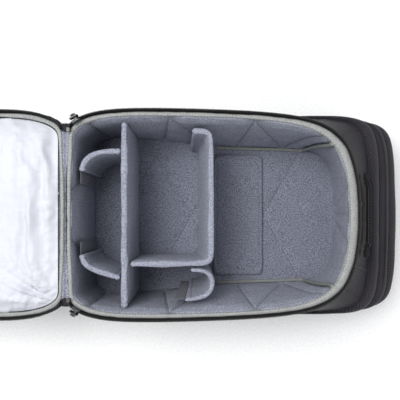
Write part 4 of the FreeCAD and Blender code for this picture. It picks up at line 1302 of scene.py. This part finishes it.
def padded_divider(name, node, low, high, thick, top, body, seed, count=150):
    """Point (i, k): the centre line at t[i], blended by height k, plus the across direction times side k."""
    t, gone, total = evenly(low, count)
    side, up = divider_section(top - Z_STAND, thick / 2)
    share = np.clip(up / (top - Z_STAND), 0, 1)[None, :, None]
    foot, head = clamped_spline(low, t)[:, None], clamped_spline(high, t)[:, None]
    centre = foot * (1 - share) + head * share
    way = unit(np.gradient((foot + head)[:, 0], gone, axis=0))
    across = np.column_stack([-way[:, 1], way[:, 0]])
    to_end = np.minimum(gone, total - gone)
    rounding = np.sqrt(np.clip(1 - (1 - np.clip(to_end / 0.0032, 0, 1)) ** 2, 0.03, 1))
    flat = centre - across[:, None] * (side[None, :] * rounding[:, None])[..., None]
    P = np.concatenate([flat, np.broadcast_to(Z_STAND + up[None, :, None], flat.shape[:2] + (1,))], axis=-1)
    N = normals_of(P, across=True)
    depth = top - Z_STAND - up
    on_face = (depth > 0.001) & (up > 0.001)
    lift = 0.0009 * np.clip(depth / 0.02, 0, 1) * np.clip(to_end / 0.02, 0, 1)[:, None] - 0.0002
    lift = lift + 0.00045 * wander(P, seed, 0.08, 0.02)
    lift = lift - 0.0008 * np.exp(-(((depth - TOP_SEAM) / 0.0014) ** 2))
    lift = lift - 0.0007 * np.exp(-(((to_end - 0.007) / 0.0014) ** 2))[:, None]
    P = P + N * (lift * on_face * rounding[:, None])[..., None]
    P[..., 2] = np.maximum(P[..., 2], Z_STAND - 0.0001)
    piece = grid_piece(name, P, slate_lightened, body, across=True)
    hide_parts(node)
    right_from = FACE_ROWS + 9
    left = np.argmin(np.abs(depth[:FACE_ROWS] - TOP_SEAM))
    right = right_from + np.argmin(np.abs(depth[right_from:-2] - TOP_SEAM))
    inner = slice(7, -7)
    for column, label in ((left, "a"), (right, "b")):
        line = stitch_line(f"{name}_stitches_{label}", P[inner, column], N[inner, column], thread_dark, body,
                           pitch=0.0042, length=0.0026, radius=0.00034)


def mm(points):
    """Millimetres as metres."""
    return np.array(points, float) / 1000


# %% The cross divider
main_near, main_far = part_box("divider_main")
main_mid = (main_near.x + main_far.x) / 2
main_low, main_high = (np.column_stack([np.full(5, main_mid), np.linspace(-1, 1, 5) * reach])
                       for reach in (0.1226, 0.1256))
padded_divider("cross_divider", "divider_main", main_low, main_high, 0.009, main_far.z, "divider_main", 81,
               count=190)
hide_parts("divider_main_board")
print("cross divider", round(2000 * 0.1256), "mm wide at its top")

# %% The shaped dividers
GOGGLES_LOW = mm([(-84, 105.5), (-72, 106), (-66, 104), (-65, 88), (-65, 20), (-65, -48), (-66, -62),
                  (-72, -66.5), (-100, -67), (-162.2, -67)])
GOGGLES_HIGH = mm([(-78, 114.5), (-60, 115), (-53, 112), (-52, 94), (-52, 20), (-52, -48), (-53, -62),
                   (-62, -66.5), (-100, -67), (-162.2, -67)])
CURL_LOW = mm([(-82, -75.9), (-66, -75.9), (-57, -81), (-54.5, -90), (-58, -100), (-70, -104.5), (-84, -105.5)])
CURL_HIGH = mm([(-80, -75.9), (-62, -75.9), (-52, -82), (-49.5, -96), (-55, -110), (-69, -115.5), (-88, -117)])
CRADLE_LEFT = mm([(-176.4, 87), (-190, 87.5), (-207, 86.5), (-221, 79.5), (-229, 70), (-229.5, 60)])
CRADLE_RIGHT = mm([(-177.4, -86.2), (-190, -82.5), (-207, -77.5), (-221, -71.5), (-228.5, -64), (-229.5, -54)])
for name, node, low, high, thick, seed in (
    ("goggles_divider", "divider_goggles", GOGGLES_LOW, GOGGLES_HIGH, 0.008, 82),
    ("curled_divider", "divider_curl", CURL_LOW, CURL_HIGH, 0.0065, 83),
    ("controller_divider_left", "divider_controller_left", CRADLE_LEFT, CRADLE_LEFT, 0.008, 84),
    ("controller_divider_right", "divider_controller_right", CRADLE_RIGHT, CRADLE_RIGHT, 0.008, 85),
):
    padded_divider(name, node, low, high, thick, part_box(node)[1].z, node, seed)
print("five dividers")

# %% [markdown]
# ## Cushions
#
# The riser pad, the spine and lumbar pads and the yoke are flat foam cushions with round corners. A
# superellipse gives their outline: the cosine and sine of the angle, each raised to a small power, so the
# corners are round and the sides nearly straight. The rings of the top and the underside shrink to the
# middle, and sewn channels press into the foam.

# %% Cushion maker


def superellipse(count, power):
    """The cosine and the sine of the angle, each raised to a power with its sign kept."""
    turn = np.linspace(0, 2 * np.pi, count, endpoint=False)[::-1]
    c, s = np.cos(turn), np.sin(turn)
    return np.column_stack([np.sign(c) * np.abs(c) ** power, np.sign(s) * np.abs(s) ** power])


def cushion(name, node, material, body="case", power=0.3, channels=(), axis=0, seed=90, count=300,
            rings=46, border=0.007):
    """Ring k is the outline times size[k] and room[k], at height z[k]; the rim of the pad is half a circle."""
    low, high = (np.array(corner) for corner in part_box(node))
    middle, half = (low + high) / 2, (high - low) / 2
    edge = half[2]
    inward = np.linspace(0, 1, rings) ** 1.3
    turn = np.linspace(-np.pi / 2, np.pi / 2, 13)[1:-1]
    outline = superellipse(count, power) * half[:2]
    size = np.concatenate([1 - inward[::-1] * 0.985, np.ones(11), 1 - inward * 0.985])
    out = np.concatenate([np.full(rings, -edge), edge * (np.cos(turn) - 1), np.full(rings, -edge)])
    z = np.concatenate([np.full(rings, -edge), edge * np.sin(turn), np.full(rings, edge)])
    room = (half[:2].min() + out) / half[:2].min()
    P = np.empty((count, len(size), 3))
    P[..., :2] = outline[:, None] * (size * room)[None, :, None]
    P[..., 2] = z
    P += middle
    N = normals_of(P, around=True)
    inside = (1 - size) * half[:2].min()
    lift = 0.0003 * wander(P, seed, 0.1, 0.025) * (size > 0.1)
    lift = lift - 0.0011 * np.exp(-(((inside - border) / 0.0018) ** 2)) * (inside > 0)
    for at in channels:
        lift = lift - (size > 0.1) * 0.0026 * np.exp(-(((P[..., axis] - at) / 0.004) ** 2)) * (inside > border)
    P = P + N * lift[..., None]
    piece = grid_piece(name, P, material, body, around=True, flat_uv=True)
    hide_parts(node)


# %% The cushions
cushion("riser_cushion", "riser_pad", slate, "riser_pad", power=0.12, seed=91, border=0.002)
cushion("spine_cushion", "spine_pad", mesh_cloth, channels=np.linspace(-0.085, 0.14, 7), seed=92)
cushion("lumbar_cushion", "lumbar_pad", mesh_cloth, channels=(-0.04, 0.0, 0.04), axis=1, seed=93)
cushion("harness_yoke_pad", "harness_yoke", nylon, power=0.2, seed=94, border=0.003)
print("four cushions")

# %% [markdown]
# ## Back panel
#
# The back panel closes the bag underneath. It is the outline's pattern again, filled with shrinking rings on
# both faces. The padding between the laptop space and the floor is made in the same way.

# %% Back panel
panel_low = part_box("back_panel")[0].z
below = disc_levels(BASE.inset(0.004).at(panel_low), 40)[::-1]
above = disc_levels(BASE.inset(0.001), 6)
edge = [BASE.inset(0.0026).at(panel_low), BASE.inset(0.0006).at(panel_low + 0.0012),
        BASE.inset(0.0004).at(BASE.z - 0.0004)]
P = loft(below + edge + above, ROUND)
P[:, :len(below), 2] += 0.0005 * wander(P[:, :len(below)], 95, 0.15, 0.03)
panel = grid_piece("back_panel_cloth", P, mesh_cloth, around=True, flat_uv=True)
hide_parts("back_panel")
print("back panel", round(2 * BASE.half, 3), "m wide")

# %% Laptop padding
pad_low, pad_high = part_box("laptop_pad")
pad_level = MAIN_FLOOR.inset(0.001)
P = loft(disc_levels(pad_level.at(pad_low.z), 12)[::-1] + disc_levels(pad_level.at(pad_high.z), 12), ROUND)
P[..., 2] += 0.0002 * wander(P, 96, 0.1, 0.03)
laptop_padding = grid_piece("laptop_padding", P, slate, around=True, flat_uv=True)
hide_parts("laptop_pad")
print("laptop padding", round((pad_high.z - pad_low.z) * 1000, 1), "mm thick")

# %% [markdown]
# ## Straps
#
# A shoulder strap is a foam ribbon with a bound edge, and the webbing is a thin ribbon. Both are a flat
# section carried along a path: a superellipse again, half the width one way and half the thickness the other.

# %% Ribbons


def ribbon_points(path, normals, wide, thick, sides=24, power=0.5):
    """Point (i, k) is path i plus the superellipse's two coordinates along the side direction and the normal."""
    way = unit(np.gradient(path, axis=0))
    up = unit(normals - way * np.einsum("ij,ij->i", normals, way)[:, None])
    side = np.cross(way, up)
    ring = superellipse(sides, power)
    sideways = side[:, None] * ring[None, :, :1] * wide / 2
    return path[:, None] + sideways + up[:, None] * ring[None, :, 1:] * thick / 2


def ribbon(name, path, normals, wide, thick, material, sides=24, power=0.5, seed=None):
    """The ribbon's points as a piece in its slot; a seed makes its faces a little uneven."""
    P = ribbon_points(path, normals, wide, thick, sides, power)
    if seed:
        P = P + normals_of(P, across=True) * 0.0005 * wander(P, seed, 0.06, 0.015)[..., None]
    piece = grid_piece(name, P, material, across=True)
    return piece


# %% Shoulder straps and webbing
STRAP_LINE = mm([(196, 50), (150, 50), (90, 62), (20, 78), (-50, 82), (-118, 70)])
WEB_LINE = mm([(-131, 69, 3), (-146, 92, 3), (-190, 109, 3), (-222, 115, 3), (-233, 118, 3.4), (-232, 118, 9),
               (-226, 116, 15)])
STRAP_WIDE, STRAP_THICK, STRAP_HIGH = 0.0435, 0.0082, 0.0046
strap_t = evenly(STRAP_LINE, 150)[0]
for side, name in ((1, "left"), (-1, "right")):
    flat = clamped_spline(STRAP_LINE, strap_t)
    path = np.column_stack([flat[:, 0], side * flat[:, 1], np.full(len(flat), STRAP_HIGH)])
    strap = ribbon(f"strap_{name}", path, up_normals(path), STRAP_WIDE, STRAP_THICK, mesh_cloth,
                   sides=36, power=0.35, seed=100 + side)
    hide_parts(f"shoulder_strap_{name}")
    way = unit(np.gradient(path, axis=0))
    across = np.cross(way, (0, 0, 1.0))
    for edge, label in ((1, "outer"), (-1, "inner")):
        tube(f"strap_binding_{name}_{label}", path + across * edge * 0.0212, up_normals(path), 0.0016, webbing,
             sides=8)
    line = clamped_spline(WEB_LINE, np.linspace(0, 1, 90))
    line = line * (1, side, 1)
    rise = np.clip((line[:, 2] - 0.003) / 0.006, 0, 1)[:, None]
    outward = np.array((-0.9, 0.35 * side, 0.0))
    web_normals = np.array((0, 0, -1.0)) * (1 - rise) + outward * rise
    web = ribbon(f"strap_webbing_{name}", line, web_normals, 0.016, 0.0019, webbing, sides=16,
                 power=0.35)
    if side == 1:
        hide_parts("strap_webbing")
print("straps and webbing")

# %% [markdown]
# ## Grab handle
#
# The handle is webbing rolled round a soft core: a U that lies on the sloping end wall. Its two legs turn in
# loops of webbing that are sewn to the wall. The U is a superellipse too, and each loop is most of a circle
# with two tails that run together down the wall.

# %% The handle's roll
slope_down = np.array((FRONT_FOOT.high - RIM.high, 0, Z_FOOT - Z_WALL))
SLOPE = unit(slope_down)
SLOPE_OUT = np.array((-SLOPE[2], 0, SLOPE[0]))
PIVOT_SHARE = 0.32
PIVOT = np.array((RIM.high, 0, Z_WALL)) + PIVOT_SHARE * slope_down + SLOPE_OUT * 0.0048
HANDLE_HALF, HANDLE_DROP, HANDLE_THICK = 0.044, 0.019, 0.0036
HANDLE_STEPS = 170
turn = np.linspace(0, np.pi, 160)
u_shape = np.column_stack([np.sign(np.cos(turn)) * np.abs(np.cos(turn)) ** 0.4 * HANDLE_HALF,
                           np.sin(turn) ** 0.45 * HANDLE_DROP])
u_shape = respaced(u_shape, HANDLE_STEPS)
path = PIVOT + SLOPE * u_shape[:, 1:] + np.array((0, 1.0, 0)) * u_shape[:, :1]
P = tube_points(path, np.tile(SLOPE_OUT, (HANDLE_STEPS, 1)), HANDLE_THICK, sides=24)
N = normals_of(P, across=True)
P = P + N * (0.00035 * wander(P, 111, 0.03, 0.006))[..., None]
handle = grid_piece("handle_roll", P, tape_black, "grab_handle", across=True)
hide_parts("grab_handle")
seam = stitch_line("handle_stitches", P[8:-8, 6], N[8:-8, 6], thread_dark, "grab_handle", pitch=0.004,
                   length=0.0026)
print("handle", round(float(travelled(path)[-1]), 3), "m long")

# %% The handle's pivots and anchors
LOOP_RADIUS, TAIL_LONG = 0.0036, 0.011
for side, name in ((1, "left"), (-1, "right")):
    outwards = np.array((0, side, 0))
    bar = np.linspace(-0.0005, 0.012, 12)[:, None] * outwards + PIVOT + outwards * (HANDLE_HALF + 0.002)
    tube(f"handle_pivot_{name}", bar, np.tile(SLOPE_OUT, (12, 1)), 0.0022, webbing, "grab_handle")
    loop = np.linspace(-2.5, 2.5, 40)
    ring_down, ring_out = -np.cos(loop) * LOOP_RADIUS, np.sin(loop) * LOOP_RADIUS
    tail = np.linspace(0, 1, 20)
    low_down, low_out = tail * TAIL_LONG, -LOOP_RADIUS - 0.0004 * tail
    high_down, high_out = TAIL_LONG - tail * 0.0085, -0.0024 + 0.0046 * tail**1.6
    down = np.concatenate([ring_down, high_down[::-1], low_down[::-1]])
    out = np.concatenate([ring_out, high_out[::-1], low_out[::-1]])
    centre = PIVOT + outwards * (HANDLE_HALF + HANDLE_THICK + 0.0057)
    path = centre + SLOPE * down[:, None] + SLOPE_OUT * out[:, None]
    middle = centre + SLOPE * 0.003 - SLOPE_OUT * 0.001
    anchor = grid_piece(f"handle_anchor_{name}", ribbon_points(path, path - middle, 0.0095, 0.0011, 12, 0.4),
                        tape_black, across=True)
    if side == 1:
        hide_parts("grab_handle_anchors")
print("two pivots and two anchors")

# %% [markdown]
# ## Finishes for the hardware
#
# Sliders, pulls, end stops, buckles, hook tape and the stiffening boards have their real shape already, so
# the CAD pieces stay and only take a finish. Each takes it from the slot that the record names for it.

# %% Finishes by slot
finish_of = {
    "outer_nylon": nylon, "back_mesh": mesh_cloth, "slate_lining": slate, "stone_binding": stone,
    "lid_lining": silver, "zip_tape": tape_black, "zip_coil": coil_plastic, "webbing": webbing,
    "hook_tape": hook, "board": board_plastic, "foam": foam_grey, "zip_metal": gunmetal,
    "pull_tab": pull_rubber, "buckle": buckle_plastic,
}
for subpart in frame["record"]["subparts"]:
    mesh = nodes[subpart["node"]].data
    mesh.materials.clear()
    mesh.materials.append(finish_of[subpart["material_slot"]])
